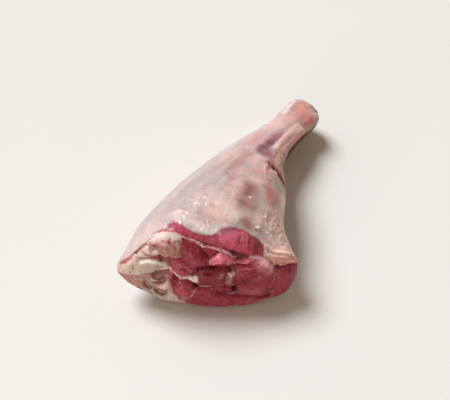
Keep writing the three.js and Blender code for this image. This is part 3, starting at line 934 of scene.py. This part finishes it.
# %% Tints round the knife nick
FELL_WASHES += [
    ("#c87470", 0.75, patch(4, (31, -33.5), (40, -34), (42, -43), (38, -51), (32, -50))),
    ("#db9e9b", 0.5, streak(5, (26, -17), (30, -19), (33, -28))),
    ("#c77d7d", 0.6, streak(1.6, (33.4, -10), (31.8, -17), (32.2, -24), (33.6, -31))),
    ("#cc8b89", 0.6, streak(2.4, (35.5, -12), (34.6, -20), (35.4, -27))),
    ("#c2a697", 0.6, patch(3, (38, -18), (44, -20), (44, -30), (40, -32), (37, -26))),
    ("#cf8f88", 0.7, patch(3, (35, 12), (40, 11), (43, 4), (41, -4), (36, -5), (33.6, 2))),
    ("#b0605a", 0.7, streak(1.5, (36.5, 10), (37.4, 4), (36.4, -3))),
    ("#b5665e", 0.6, streak(1.3, (40.5, 8), (40.8, 2), (39.4, -4))),
    ("#b8645c", 0.8, patch(1.4, (32.8, -6), (35, -3.4), (38, -4.6), (41, -5.6), (43.8, -8.8),
                           (46.4, -11.6), (48.2, -14.4), (46.6, -16.4), (43, -13), (40, -10.4),
                           (37, -10.4), (34, -10))),
    ("#8e2f2c", 0.85, dab((35.4, -7.2), (2.6, 2.2))),
    ("#dcc0b2", 0.8, patch(1.2, (36.8, -13.4), (39.2, -12.4), (41.6, -15), (43.4, -18.6), (40, -19.6),
                           (37.6, -17))),
    ("#e6cfc2", 0.8, streak(3, (42.4, 1.6), (46, -2), (48.4, -6.6))),
    ("#b4615a", 0.8, streak(8, (34, -6), (37, -5.6), (41, -7.4), (44, -10.6), (46.6, -13.6))),
    ("#973a36", 0.8, dab((37, -5), (2.6, 2.4), 20)),
    ("#8c302e", 0.8, dab((34.8, -3.4), (1.4, 2.4), 10)),
    ("#90403c", 0.9, streak(4.2, (37.6, -7.2), (40.2, -7.4), (42.8, -9.8), (45.4, -12.6), (47.5, -14.4))),
    ("#b8665f", 0.35, streak(2, *SIDE_LINES["beside the nick"])),
    ("#fbd8d0", 0.85, streak(2, (36, -11), (34.4, -17), (34.6, -23))),
    ("#a55f58", 0.6, streak(1.4, (42.4, 11), (43, 5), (43.8, -1))),
    ("#8a3a36", 0.5, streak(1.3, (39.6, 6), (39, 1), (38.2, -5))),
    ("#d49a92", 0.8, dab((42.2, -8.8), (1.6, 1.4))),
    ("#6c2c2a", 0.5, dab((46.6, -13.4), (1.6, 2.4), -40)),
    ("#ecc8c0", 0.8, streak(1.5, (39.6, -4.6), (40.6, -9.4))),
    ("#d8a49a", 0.8, streak(1.4, (42.4, -7), (43.4, -12))),
    ("#d99c94", 0.7, streak(1.3, (36, -4), (35.4, -10))),
    ("#a85a54", 0.5, streak(1.6, (34.2, -9), (33.2, -15), (33.4, -21))),
]
print(len(FELL_WASHES), "washes on the fell")

# %% Tints of the hollow, the tendon and the hock
FELL_WASHES += [
    ("#d69a8e", 0.8, streak(14, (46, -4), (50, 12), (55, 26), (61, 40), (69, 54), (77, 66))),
    ("#c28c96", 0.95, patch(2, *HOLLOW)),
    ("#9a656e", 0.7, dab((35, 26), (8, 3), 54)),
    ("#97606a", 0.95, patch(2.8, *LOWER_HOLLOW)),
    ("#855b61", 0.85, dab((27.8, 11.5), (8, 3), 75)),
    ("#d2a4a5", 0.7, streak(1.4, (29, 21.6), (33, 20.8), (37, 19.3))),
    ("#f0b2a6", 0.8, streak(11, (41.5, 4), (44.5, 18), (49, 31), (55, 41), (61, 50), (68, 60))),
    ("#ffe0e0", 0.9, streak(7, (41.8, 22), (44, 29.5), (48.5, 37), (55, 46), (63, 56))),
    ("#f4d2ca", 0.8, streak(13, (30, 57), (38, 66), (46, 77), (52, 86))),
    ("#f6bdb4", 0.8, dab((58, 65), (16, 10), 55)),
    ("#ffcfc4", 0.8, dab((58, 52.6), (8, 3.6), 52)),
    ("#ebb5a2", 0.8, dab((46.3, 71.3), (3.6, 4.6), 30)),
    ("#cf7a68", 0.8, dab((46.9, 71), (1.6, 2.2), 30)),
    ("#e8a096", 0.9, patch(4, (57, 68), (60, 80), (66, 87), (73, 83), (76, 75), (71, 66), (62, 64))),
    ("#d08c7c", 0.5, dab((70.5, 79), (4, 3.5))),
    ("#e69e8e", 0.6, dab((63, 82), (3.5, 4))),
    ("#fbeae0", 0.8, streak(6, (50.2, 71.4), (55.4, 80), (59.6, 86.6))),
    # Painted shade on the hock's right edge, which is turned from the light.
    ("#ab736e", 0.7, dab((76, 79.5), (2.4, 4.6), 15)),
    ("#f6dcd7", 0.8, dab((79.5, 77.5), (2.8, 4.5), -20)),
    ("#ffd0c4", 0.9, dab((78, 70), (6, 6), 40)),
    ("#a8645c", 0.6, streak(2.4, (81, 80), (77.4, 76.8), (75.6, 75.4))),
    ("#ff9aa2", 0.95, dab((71, 65.6), (7, 5), 38)),
]
print(len(FELL_WASHES), "washes on the fell")

# %% Tints beside the cut, and painted glints on the wrinkles
FELL_WASHES += [
    ("#fad4cb", 0.9, streak(5, (-52, -84.6), (-44, -85.4), (-36, -87), (-26, -89.5), (-16, -91))),
    ("#f8d0c7", 0.9, patch(3, *FLARE)),
    ("#dc9699", 0.7, dab((48.5, -82), (4.5, 5))),
    ("#e2a69a", 0.7, streak(3.5, (33, -89), (42, -89.6), (54, -89.5))),
    ("#dba498", 0.45, streak(1.6, *SIDE_LINES["furrow of the flare"])),
    ("#fdeae0", 0.5, streak(2, (32, -83.4), (41, -86), (52, -86.6))),
    ("#cf958a", 0.45, streak(1.6, *SIDE_LINES["second furrow of the flare"])),
    ("#e8b9ae", 0.5, streak(1.5, *SIDE_LINES["third furrow of the flare"])),
    # Painted glints: a pale line along each wrinkle of the wet fell.
    *(("#fff3f0", 0.25, streak(1.6, *points)) for points in WRINKLES),
]
print(len(FELL_WASHES), "washes on the fell")

# %% Tints of the bare muscle
BARE_MUSCLE = "#b75463"
BARE_WASHES = [
    ("#aa7680", 0.9, dab((-44, -80), (11, 5), -15)),
    ("#cf8a7c", 0.6, dab((-43, -83), (7, 2.6), -10)),
    ("#be5062", 0.6, dab((-26, -83.5), (20, 5), -12)),
    ("#cc5866", 0.7, streak(3, (-30, -84), (-20, -85.5), (-8, -85.5))),
    ("#b8748a", 0.8, dab((3, -79.5), (10, 4))),
    ("#d97a8a", 0.7, dab((1, -84), (11, 4.5), -5)),
    ("#863b46", 0.85, dab((22, -84), (9, 10), -15)),
    ("#96505c", 0.5, streak(2.6, (-3, -77.5), (6, -76.5), (15, -77.5), (22, -81), (27, -84))),
    ("#7c2e3c", 0.7, streak(2, (11.3, -80), (11, -84), (10.6, -88))),
    ("#b47880", 0.75, dab((14, -83), (3.6, 5.4))),
    ("#b05a66", 0.6, dab((27, -87.5), (3, 4))),
    ("#efc8ce", 0.8, dab((-5, -80.7), (3.4, 1.8), -10)),
    ("#c77480", 0.7, streak(3, (-14, -90.3), (-6, -90.6), (4, -91.5))),
]
print(len(BARE_WASHES), "washes on the bare muscle")

# %% [markdown]
# ## Tints of the cut
# On the cut the colours change within millimetres. Fat goes from white to tan, with blood in its folds, and
# the muscle is dark where it is wet and deep. Some washes are painted light and shade: highlights and sheen
# on rims, crests and skins, and shade in folds and under overhangs. One colour for each outline would look
# like a map, so washes break it up here too.

# %% Tints of the wedge of fat
FAT_WASHES = [
    # Painted light: these two washes brighten the wedge's rounded top rim, which faces up to the broad
    # light.
    ("#fff2ec", 0.95, streak(12, (-46, 59.5), (-38, 64.8), (-28, 67.8), (-20, 66))),
    ("#fff2ec", 0.7, dab((-24, 64.4), (4.5, 3))),
    ("#e6bfb6", 0.8, dab((-33, 60.6), (6, 2.6), 15)),
    ("#c2857c", 0.6, streak(2, (-37, 55), (-33, 57.2), (-28, 58.6), (-25, 58))),
    ("#ad7c6c", 0.7, patch(2, (-26.5, 56), (-20, 57), (-20, 49), (-26.5, 50))),
    ("#a68272", 0.6, dab((-21.8, 51.5), (2, 5))),
    ("#b88a7a", 0.6, streak(1.6, (-25.5, 60.5), (-24.6, 55), (-25, 51))),
    ("#bd5058", 0.8, streak(2, (-33, 62.6), (-30, 62.8), (-28, 62))),
    ("#b84a54", 0.8, dab((-28.8, 63.2), (2.2, 1.2), 15)),
    ("#b85458", 0.8, streak(1.8, (-24, 62.8), (-20.8, 62.5))),
    ("#d49a96", 0.8, dab((-42, 56.5), (5, 3.5), 35)),
    ("#b8626a", 0.8, streak(3.4, (-41, 57), (-38, 57.2), (-36, 58.6))),
    ("#7a222c", 0.9, dab((-39, 57), (1.8, 1.2))),
    ("#9a4c58", 0.7, dab((-42.2, 58.8), (1.2, 1.4))),
]
print(len(FAT_WASHES), "washes on the fat")

# %% Tints of the fat above the joint
FAT_WASHES += [
    ("#c27c7a", 0.8, dab((-44, 47.2), (4.6, 2.2), 5)),
    # Painted highlight along the ridge beside the skin's crease.
    ("#fbe2d6", 0.85, streak(2.8, *FOLDS["beside the skin's crease"])),
    ("#f0cfc2", 0.7, dab((-44.6, 51.4), (2.2, 3), -20)),
    ("#b0686a", 0.8, streak(1.5, *FOLDS["beside the ball"])),
    ("#b5716c", 0.7, streak(1.5, *FOLDS["in the pink fat"])),
    # Painted highlight on top of the white ball.
    ("#fff0e4", 0.8, dab((-37.4, 52.4), (2, 1.2), 20)),
    ("#9c2c32", 0.9, patch(0.8, (-45, 45.2), (-41, 45.6), (-36, 45.6), (-33, 45), (-33, 47.2), (-36, 47.8),
                           (-41, 47.2))),
    ("#6a1a20", 0.9, dab((-35.4, 45.2), (2.4, 1.6), -10)),
    ("#8a5a4e", 0.7, streak(1.3, *FOLDS["in the wedge"])),
    ("#d0a595", 0.6, streak(1.6, (-21.7, 60), (-21.3, 55), (-21.7, 50))),
    ("#7d3f3c", 0.6, streak(1.3, *FOLDS["across the wedge"])),
    ("#8a3238", 0.8, streak(2, (-36.5, 48.2), (-31, 47.3), (-27.5, 47.8))),
    ("#a34a50", 0.9, patch(1.2, (-34, 44.5), (-33, 46.8), (-27, 47.4), (-26.5, 44.5), (-29, 42.6))),
    ("#b06a66", 0.7, streak(1.6, (-50.5, 42), (-49.4, 44.3))),
    ("#d59a92", 0.6, streak(3, (-52, 43.4), (-48.6, 45.6), (-45, 47))),
    ("#c98a84", 0.6, streak(2.4, (-50.8, 42.4), (-49.2, 44.6))),
    ("#cf9a90", 0.5, streak(3, (-62, 27.6), (-55, 27.8), (-48, 29))),
]
print(len(FAT_WASHES), "washes on the fat")

# %% Tints of the cartilage and the slab
FAT_WASHES += [
    # Painted light along the top of the arch, which faces up to the broad light.
    ("#fffaf2", 0.95, streak(3.8, (-50, 41.4), (-46, 43.2), (-40, 43.8), (-34, 43.2), (-30, 41))),
    ("#e6d0c3", 0.8, dab((-32.5, 38.9), (4, 2.4), 15)),
    # Painted shade in the fold of the arch, painted shadow of the arch over the egg's top, and the egg's lit
    # bottom.
    ("#8a6a5a", 0.85, dab((-39.2, 35.6), (2.4, 4.4), -8)),
    ("#6a423a", 0.85, streak(3.6, (-41, 31), (-36.5, 33.2), (-31.5, 35.2))),
    ("#c89a8e", 0.8, dab((-37.5, 27.3), (4, 1.8), 10)),
    # Painted shade in the crescent crease under the egg.
    ("#7a3c31", 0.8, patch(0.7, (-40.4, 23.2), (-37, 21.8), (-34, 22.8), (-31.4, 25.8), (-30.4, 28.6),
                           (-31.6, 27.8), (-34, 25), (-37, 24.3))),
    ("#7a2e2a", 0.7, dab((-30, 34), (1.6, 2.6))),
    # Painted shade: a dark line where shadow falls to the right of the red stripe.
    ("#5a1e1c", 0.9, streak(2, (-30, 38), (-28.4, 36.4), (-26.6, 33.8), (-25, 32))),
    ("#8e6a5c", 0.75, streak(2.4, (-48, 22), (-47, 19), (-44.5, 17.3), (-43, 17.6))),
    # Painted shade along the lower edge of the notch in the slab.
    ("#6a4c42", 0.85, streak(1.8, (-40.5, 16.6), (-38, 14.8), (-35.4, 12.8), (-33, 12.9), (-31.8, 14.6))),
    # Painted highlights on the cream wedge.
    ("#fbe4d8", 0.8, dab((-33.4, 20.6), (3.6, 2.2), 25)),
    ("#f6dacd", 0.7, dab((-30.4, 23.6), (1.4, 2.6))),
    ("#f0dccd", 0.85, streak(3.4, (-30.6, 15), (-27, 13), (-24.2, 9.8), (-22.6, 6.4))),
    # Painted shade at the slab's low left end.
    ("#4a372e", 0.95, dab((-52, 13.4), (5, 3.2), -20)),
    ("#8c7060", 0.7, dab((-43, 12.4), (7, 4), -15)),
    # Painted shade on the slab's underside, which faces down.
    ("#84705f", 0.6, streak(5, (-43, 9.6), (-37, 8), (-31, 6))),
    ("#e6d2c4", 0.8, dab((-28, 11), (4, 5), -40)),
    ("#7a2026", 0.9, dab((-35.2, 44.4), (2, 1), -10)),
]
print(len(FAT_WASHES), "washes on the fat")

# %% Tints of the two corners and the skin's crease
FAT_WASHES += [
    ("#f2d6c8", 0.8, streak(3, (-67, 33), (-63, 34.3), (-59, 38), (-56, 41))),
    ("#edbfb0", 0.8, dab((-67, 29.5), (3.5, 4))),
    ("#98766a", 0.7, streak(1.6, *FOLDS["by the arch"])),
    ("#b97868", 0.6, streak(3, (-67, 23.6), (-60, 22.6), (-53, 20.5))),
    ("#c4685e", 0.8, streak(4.2, (-66, 34.6), (-62.5, 37), (-59.5, 39.8), (-57.5, 42))),
    ("#b55a54", 0.8, streak(2.4, (-57.5, 42.5), (-54, 46.3), (-50, 50.5), (-46, 55.5))),
    ("#a8625a", 0.8, streak(1.8, (-46.4, 56), (-43.6, 60), (-40, 63.2), (-36, 65.8))),
    ("#5a1a1e", 0.9, dab((-53.6, 46.7), (2, 1.1), 38)),
    ("#eab0a8", 0.6, dab((-9, 27), (3, 3))),
    ("#f0c0b0", 0.8, streak(3, (42, 45.5), (46.5, 43.5), (50, 41.5))),
    ("#eab4a4", 0.8, streak(2.4, (50, 43.5), (53.5, 41.3), (57, 39.8))),
    ("#fbdccf", 0.6, streak(2.2, *FOLDS["strand of the right corner"])),
    ("#c0776b", 0.45, streak(1.5, *FOLDS["furrow of the right corner"])),
    ("#f2c4b5", 0.5, streak(2.2, (52, 40), (60, 38.6), (68, 36.4))),
    ("#b9695f", 0.45, streak(1.5, *FOLDS["second furrow of the right corner"])),
    ("#a34c48", 0.7, dab((52.5, 37), (2.6, 1.6), -10)),
    ("#a9584f", 0.8, streak(1.8, (43, 44.5), (47, 41), (49.3, 36.8))),
]
print(len(FAT_WASHES), "washes on the fat")

# %% Tints of the muscles at the left
MUSCLE_WASHES = [
    ("#702a30", 0.45, streak(5, (-18.5, 64), (-18.8, 58), (-18, 50))),
    # Painted sheen: a grey gloss on the front muscle.
    ("#925c5c", 0.5, dab((-10, 47), (7, 4.5), 40)),
    ("#6a3634", 0.8, dab((-3, 43), (5, 3.4), -10)),
    ("#b26066", 0.4, streak(4, (-14, 57), (-11, 50), (-8, 44))),
    ("#a0505a", 0.5, dab((-0.5, 54.8), (2, 1.8))),
    # Painted highlight: a shiny speck on the small muscle.
    ("#d9a0a2", 0.7, dab((-20.8, 43.3), (1.8, 1))),
    ("#7c2f38", 0.5, streak(2.4, (-25, 44.5), (-22, 44), (-19, 45.5))),
    ("#bd7c80", 0.6, streak(1.4, (-24, 36.5), (-22, 39.6), (-18.5, 40.8), (-15, 39.4), (-13.3, 36.4))),
    ("#660a12", 0.95, dab((-25.2, 26.6), (5, 8), 8)),
    ("#ca8688", 0.75, dab((-17.5, 10.5), (6, 5))),
    ("#c88285", 0.6, streak(3, (-11, 19), (-12.6, 15), (-15.5, 9.5))),
]
print(len(MUSCLE_WASHES), "washes on the muscles")

# %% Tints of the middle muscle and the nerve
MUSCLE_WASHES += [
    ("#772a31", 0.6, dab((-1, 30), (7, 5))),
    # Painted sheen across the middle muscle.
    ("#986062", 0.7, streak(2, (-4, 37.6), (4, 36.6), (12, 35))),
    ("#6a242a", 0.5, streak(1.2, *FOLDS["in the middle muscle"])),
    # Painted sheen across the middle muscle.
    ("#986062", 0.5, streak(1.6, (-5, 34), (2, 33.3), (8, 32.2))),
    ("#b67d7b", 0.75, dab((10.5, 33), (4, 5), 10)),
    ("#b3696c", 0.6, dab((8, 24.5), (5, 2.6), -20)),
    ("#c05a64", 0.7, dab((-5.5, 22.6), (2.4, 1.2), -5)),
    ("#cbb0a7", 0.9, patch(0.8, (15.6, 34.8), (19.5, 35), (19.7, 32.5), (18.5, 30), (17.2, 31), (17, 32.3),
                           (15.9, 33))),
    ("#b8928b", 0.7, streak(1.6, (17.3, 31), (17, 27), (18.2, 23.5))),
    ("#8c3040", 0.5, dab((13, 21), (5, 2.8))),
]
print(len(MUSCLE_WASHES), "washes on the muscles")

# %% Tints of the round muscle
MUSCLE_WASHES += [
    ("#680a14", 0.9, dab((27.4, 28), (8, 6.5), 30)),
    ("#b27678", 0.5, streak(1.6, (20.5, 34), (22.5, 37.3), (27, 38.8), (34, 38.8))),
    ("#a86a6c", 0.4, streak(1.4, (21, 31), (24, 35), (30, 36.5))),
    ("#b0686c", 0.5, dab((38.7, 31.5), (2, 5), -10)),
    ("#b3676a", 0.7, dab((34, 16.5), (13, 7))),
    ("#7a2028", 0.7, dab((46.5, 25.6), (1.8, 2.8))),
    ("#c98a8a", 0.6, streak(2.4, (49.8, 34), (50.3, 28), (49.6, 21), (47, 14.5), (43, 11), (36, 11.2))),
    ("#c89a98", 0.7, streak(1.2, (46.3, 20), (46.6, 16.5))),
    # Painted light and highlight along the crest of the round muscle, which faces up to the broad light.
    ("#d88f92", 0.6, patch(3.5, (32, 47), (38, 46.5), (44, 43), (49, 37.5), (49, 33), (45, 34), (40, 38),
                           (35, 42))),
    ("#ffcaca", 0.95, patch(1.6, (31.6, 48), (36.3, 47.6), (41.5, 45.2), (45.3, 42), (48.8, 37),
                            (48, 34.4), (45.3, 38), (41.5, 41.2), (37.5, 44.2), (34, 46.4))),
]
print(len(MUSCLE_WASHES), "washes on the muscles")

# %% Tints of the bright strip and the lower muscles
MUSCLE_WASHES += [
    ("#e08c94", 0.8, streak(2.8, (2.2, 43), (3.6, 47.3), (6.5, 50.2), (10, 51.2))),
    ("#d8848a", 0.6, streak(1.6, (4.6, 44), (8, 46.5), (12, 47.2), (15.5, 46))),
    # Painted shadow on the bright strip's underside.
    ("#6b1c24", 0.9, patch(0.9, (4.6, 40), (5.3, 43.4), (8, 45.6), (12, 46.2), (14.8, 45.2), (15.3, 42),
                           (15, 40))),
    ("#ee8c9c", 0.8, dab((17, 45.6), (4, 3), -30)),
    ("#86303a", 0.6, dab((-9, 10), (9, 8))),
    ("#6e1c24", 0.7, streak(1.6, (16.5, 13), (18.5, 9.5))),
    ("#b0606a", 0.6, dab((30, 6), (12, 4))),
    ("#64101c", 0.9, dab((61.7, 30.5), (2.2, 2.8), -30)),
    ("#ad4a52", 0.6, dab((64.5, 27.5), (3, 5), -20)),
    ("#c09088", 0.6, streak(4, (20, 2.5), (30, 1.8), (40, 4), (48, 5.5))),
    ("#b5807a", 0.6, dab((1.5, 3), (2, 2.4))),
]
print(len(MUSCLE_WASHES), "washes on the muscles")

# %% [markdown]
# ## Laying on the tints
# The washes now go over their base colours at every corner. The underside, which lies on the floor, is
# plain fat. Under the heel tendon a muscle shows in strands, and as it lies on a steep flank, its outline is
# given along the leg's axis and up, not in plan. Its dark colour is partly its own and partly painted shade,
# as that low flank is turned from the light. Freshly cut muscle is a cool red, so one factor takes a little
# green out of all of it.

# %% Paint fell and fat
UNDERSIDE = "#c2a097"
# Partly the muscle's own colour, partly painted shade of the low flank under the tendon.
SHADED_MUSCLE = ("#5f3231", "#855250")
STRANDS = (0.5, 2.6, 43)
UNDER_TENDON = [(154, 22), (157, 26), (160, 28.4), (167, 27), (173, 26.2), (180, 24), (190, 18.8),
                (199, 16.4), (206, 17.5), (207, 12), (198, 9.5), (185, 9), (170, 10.5), (159, 14)]
TENDON_WAVES = [(2, 6, 41), (1.6, 5, 42)]


def paint(wash, washes, a, b):
    """Marks of colour laid one over another on a wash of every corner."""
    for colour, strength, mark in washes:
        wash = wash + (strength * mark(a, b))[:, None] * (np.array(linear(colour)[:3]) - wash)
    return wash


def blend(first, second, share):
    """From one colour of every corner to another, by a share of every corner."""
    return first + share[:, None] * (second - first)


fat_side = blend(every(UNDERSIDE), paint(every(FELL), FELL_WASHES, wavy_x, wavy_y), up_side)
strands = 0.5 + rough(grain / LONG, STRANDS)
shaded_muscle = blend(every(SHADED_MUSCLE[0]), every(SHADED_MUSCLE[1]), strands)
wavy_along = along + rough(places, TENDON_WAVES[0])
wavy_z = z + rough(places, TENDON_WAVES[1])
under_tendon = (across > 0) * patch(1.6, *UNDER_TENDON)(wavy_along, wavy_z)
fat_side = blend(fat_side, shaded_muscle, under_tendon)
fat_tint = blend(fat_side, paint(fat, FAT_WASHES, bent_across, bent_up), on_cut)
print("mean tint of fell and fat:", fat_tint.mean(axis=0).round(2))

# %% Paint the muscle
FRESH_RED = np.array([1.03, 0.94, 1.03])

muscle_side = paint(every(BARE_MUSCLE), BARE_WASHES, wavy_x, wavy_y)
muscle_tint = blend(muscle_side, paint(muscle, MUSCLE_WASHES, bent_across, bent_up), on_cut) * FRESH_RED
print("mean tint of the muscle:", muscle_tint.mean(axis=0).round(2))

# %% Store tints and edges on the mesh
CUT_WET = 0.6
MEMBRANE_GLINTS = 0.25
WET_SIDE = [patch(2, *area) for area in (MEMBRANE, BARE, HOLLOW, LOWER_HOLLOW)]
WET_SIDE += [CRINKLED, dab((-8, -52), (26, 14))]
# The bare muscle of the upper side shows no clear fibres, so this stretch makes the pattern's lumps round.
ROUND_LUMPS = np.array([1.33, 0.31, 0.31])


def store(mesh, name, kind, values):
    """Keeps a value of every corner on the mesh, where the material can read it."""
    field = {"FLOAT": "value", "FLOAT_VECTOR": "vector", "FLOAT_COLOR": "color"}[kind]
    attribute = mesh.attributes.new(name, kind, "POINT")
    attribute.data.foreach_set(field, np.asarray(values, np.float32).ravel())


on_face = on_cut > 0.5
opaque = np.ones(len(x))
near_cut = (from_edge > -2.5) & (on_face | (bare > 0))
side_gap = np.where(up_side > 0.5, nick, NO_LINE)
wet = np.maximum.reduce([up_side * mark(x, y) for mark in WET_SIDE])
store(mesh, "fat_tint", "FLOAT_COLOR", np.column_stack([fat_tint, opaque]))
store(mesh, "muscle_tint", "FLOAT_COLOR", np.column_stack([muscle_tint, opaque]))
store(mesh, "lean", "FLOAT", np.clip(np.where(on_face, lean, bare), -NO_LINE, NO_LINE))
store(mesh, "seam", "FLOAT", np.clip(np.where(near_cut, seam, NO_LINE), -NO_LINE, NO_LINE))
store(mesh, "gap", "FLOAT", np.clip(np.where(near_cut, gap, side_gap), -NO_LINE, NO_LINE))
store(mesh, "wet", "FLOAT", np.maximum(wet, CUT_WET * on_cut))
# Painted glints: the share of small white flecks, on the membrane, the top of the thigh and the crinkled
# flank.
store(mesh, "fleck", "FLOAT", up_side * np.maximum(MEMBRANE_GLINTS * flecked, CRINKLED(x, y)))
store(mesh, "grain", "FLOAT_VECTOR", grain)
store(mesh, "fibre", "FLOAT_VECTOR", np.where(on_face[:, None], fibre, ROUND_LUMPS * places))
print("stored:", [attribute.name for attribute in mesh.attributes])

# %% [markdown]
# ## Raw lamb as a material
# All tissues are in one material, because they grow into each other: it draws fell and fat from one wash,
# muscle from the other, and fascia and gaps from the stored distances. Several materials on the same faces
# would leave steps as coarse as the squares at every border. Raw meat is moist and lets light in: a little
# subsurface scattering softens it, and a thin coat of water gives the wet gloss over a duller surface.

# %% Read what the mesh carries
CARRIED = ("fat_tint", "muscle_tint", "lean", "seam", "gap", "wet", "fleck", "grain", "fibre")

# Raw lamb, cut with a knife and still wet: it gives the eye sharp small glints over colours that glow from
# within.
raw_lamb, tree = new_material("raw_lamb")
coordinates = add(tree, "ShaderNodeTexCoord", {}).outputs["Object"]
carried = {name: add(tree, "ShaderNodeAttribute", {}, attribute_name=name).outputs for name in CARRIED}
grain_there = carried["grain"]["Vector"]
fibre_there = carried["fibre"]["Vector"]


def cloud(vector, size, detail, low, high):
    """Noise whose lumps have some length, width and height, spread from low to high."""
    scale = [1 / side for side in size]
    scaled = add(tree, "ShaderNodeMapping", {"Vector": vector, "Scale": scale}).outputs[0]
    lumpy = add(tree, "ShaderNodeTexNoise", {"Vector": scaled, "Scale": 1, "Detail": detail}).outputs["Fac"]
    spread = {"Value": lumpy, "From Min": 0.3, "From Max": 0.7, "To Min": low, "To Max": high}
    return add(tree, "ShaderNodeMapRange", spread).outputs[0]


def clouded(colour, clouds):
    """A colour made lighter and darker by several clouds."""
    for settings in clouds:
        shading = {0: colour, "Scale": cloud(*settings)}
        colour = add(tree, "ShaderNodeVectorMath", shading, operation="SCALE").outputs[0]
    return colour


print("the material reads", len(carried), "values from the mesh")

# %% Fell and fat: long soft streaks, mottling and painted glints over their wash
# The streaks and the blush are sized in the millimetres of the leg's own coordinates, the others in metres.
STREAK = (46, 5, 5)
FINE_STREAK = (16, 1.8, 1.8)
BLUSH = (30, 9, 9)
BLUSHES = ("#fff8f6", "#f8fcff")
MOTTLE = [7 * MM] * 3
CRUMB = [2.2 * MM] * 3
# Painted glints: small white flecks of this size and colour stand in for glints of the wet film.
GLINT_SPOT = [1.5 * MM] * 3
GLINT_COLOUR = "#fff4f0"

fat_colour = clouded(carried["fat_tint"]["Color"], [
    (grain_there, STREAK, 2, 0.94, 1.06),
    (grain_there, FINE_STREAK, 2, 0.96, 1.03),
    (coordinates, MOTTLE, 3, 0.92, 1.07),
    (coordinates, CRUMB, 2, 0.94, 1.05),
])
blushes = {0: cloud(grain_there, BLUSH, 2, 0, 1), 6: linear(BLUSHES[0]), 7: linear(BLUSHES[1])}
blush = add(tree, "ShaderNodeMix", blushes, data_type="RGBA").outputs[2]
fat_colour = add(tree, "ShaderNodeVectorMath", {0: fat_colour, 1: blush}, operation="MULTIPLY").outputs[0]

# Only the peaks of this cloud are above 0, so they are small white flecks: painted glints of the wet film.
peaks = {0: cloud(coordinates, GLINT_SPOT, 2, -14, 3), 1: carried["fleck"]["Fac"]}
glints = add(tree, "ShaderNodeMath", peaks, operation="MULTIPLY").outputs[0]
glinting_fat = {0: glints, 6: fat_colour, 7: linear(GLINT_COLOUR)}
fat_colour = add(tree, "ShaderNodeMix", glinting_fat, data_type="RGBA").outputs[2]
print("fell and fat:", len(tree.nodes), "nodes so far")

# %% Muscle: bundles of fibres, cut across or bare
# Real fibres are under a tenth of a millimetre thick, too fine to show, so they are drawn as coarse bundles.
FIBRE = (6, 1.4, 1.4)
BUNDLE = [2 * MM] * 3

muscle_colour = clouded(carried["muscle_tint"]["Color"], [
    (fibre_there, FIBRE, 3, 0.7, 1.34),
    (coordinates, BUNDLE, 3, 0.86, 1.16),
    (coordinates, MOTTLE, 2, 0.92, 1.08),
])
print("muscle:", len(tree.nodes), "nodes so far")

# %% Draw the edges between the tissues
RAGGED = [1.1 * MM] * 3
RAGGED_BY = 0.28
FASCIA = ("#e4aaa6", "#fff0ea")
FASCIA_MOTTLE = [3 * MM] * 3
FASCIA_HALO = 0.25
# Painted shade: the dark colour of gaps and slits too narrow for the squares to shade.
GAP_SHADE = "#461218"

wobble = cloud(coordinates, RAGGED, 2, -RAGGED_BY, RAGGED_BY)


def edge(name, soft, most=1.0):
    """Up to its most inside a tissue whose distance the mesh carries, 0 outside, with a ragged border."""
    uneven = add(tree, "ShaderNodeMath", {0: carried[name]["Fac"], 1: wobble}, operation="ADD").outputs[0]
    border = {"Value": uneven, "From Min": soft, "From Max": -soft, "To Max": most}
    return add(tree, "ShaderNodeMapRange", border).outputs[0]


fascias = {0: cloud(coordinates, FASCIA_MOTTLE, 2, 0, 1), 6: linear(FASCIA[0]), 7: linear(FASCIA[1])}
fascia = add(tree, "ShaderNodeMix", fascias, data_type="RGBA").outputs[2]
layers = [
    (edge("lean", 0.6), fat_colour),
    (edge("seam", 1.1, FASCIA_HALO), linear(FASCIA[0])),
    (edge("seam", 0.5), fascia),
    (edge("gap", 0.6), linear(GAP_SHADE)),
]
tissue = muscle_colour
for share, colour in layers:
    tissue = add(tree, "ShaderNodeMix", {0: share, 6: tissue, 7: colour}, data_type="RGBA").outputs[2]
print("tissues:", len(tree.nodes), "nodes so far")

# %% Moist surface
CRINKLE = [1.4 * MM] * 3
CRINKLE_STRENGTH = 0.3
CRINKLE_HEIGHT = 0.35
DRY_ROUGHNESS = 0.5
WET_ROUGHNESS = 0.28
TISSUE_IOR = 1.4
WATER_IOR = 1.34
GLOW_DEPTH = 1.6

crinkles = cloud(coordinates, CRINKLE, 4, 0, 1)
relief = {"Height": crinkles, "Strength": CRINKLE_STRENGTH, "Distance": CRINKLE_HEIGHT * MM}
bump = add(tree, "ShaderNodeBump", relief).outputs["Normal"]
dullness = {"Value": carried["wet"]["Fac"], "To Min": DRY_ROUGHNESS, "To Max": WET_ROUGHNESS}
surface = add(tree, "ShaderNodeBsdfPrincipled", {
    "Base Color": tissue,
    "Roughness": add(tree, "ShaderNodeMapRange", dullness).outputs[0],
    "IOR": TISSUE_IOR,
    "Normal": bump,
    "Subsurface Weight": 0.2,
    "Subsurface Radius": (1.0, 0.45, 0.35),
    "Subsurface Scale": GLOW_DEPTH * MM,
    "Specular IOR Level": 0.1,
    "Coat Weight": 0.5,
    "Coat Roughness": 0.1,
    "Coat IOR": WATER_IOR,
    "Coat Normal": bump,
})
add(tree, "ShaderNodeOutputMaterial", {"Surface": surface.outputs["BSDF"]})
print("raw lamb:", len(tree.nodes), "nodes")

# %% [markdown]
# ## The leg in place
# The fine mesh becomes one visible piece. It rides on the part's only body, takes the place of the solid
# that it grew from, and wears the part's one finish.

# %% Put the leg in the scene
leg = bpy.data.objects.new("lamb_shank", mesh)
mesh.materials.clear()
mesh.materials.append(raw_lamb)
mesh.shade_smooth()
scene.collection.objects.link(leg)
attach(leg, "root")
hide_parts("shank")
print("leg:", sum(len(face.vertices) - 2 for face in mesh.polygons), "triangles")
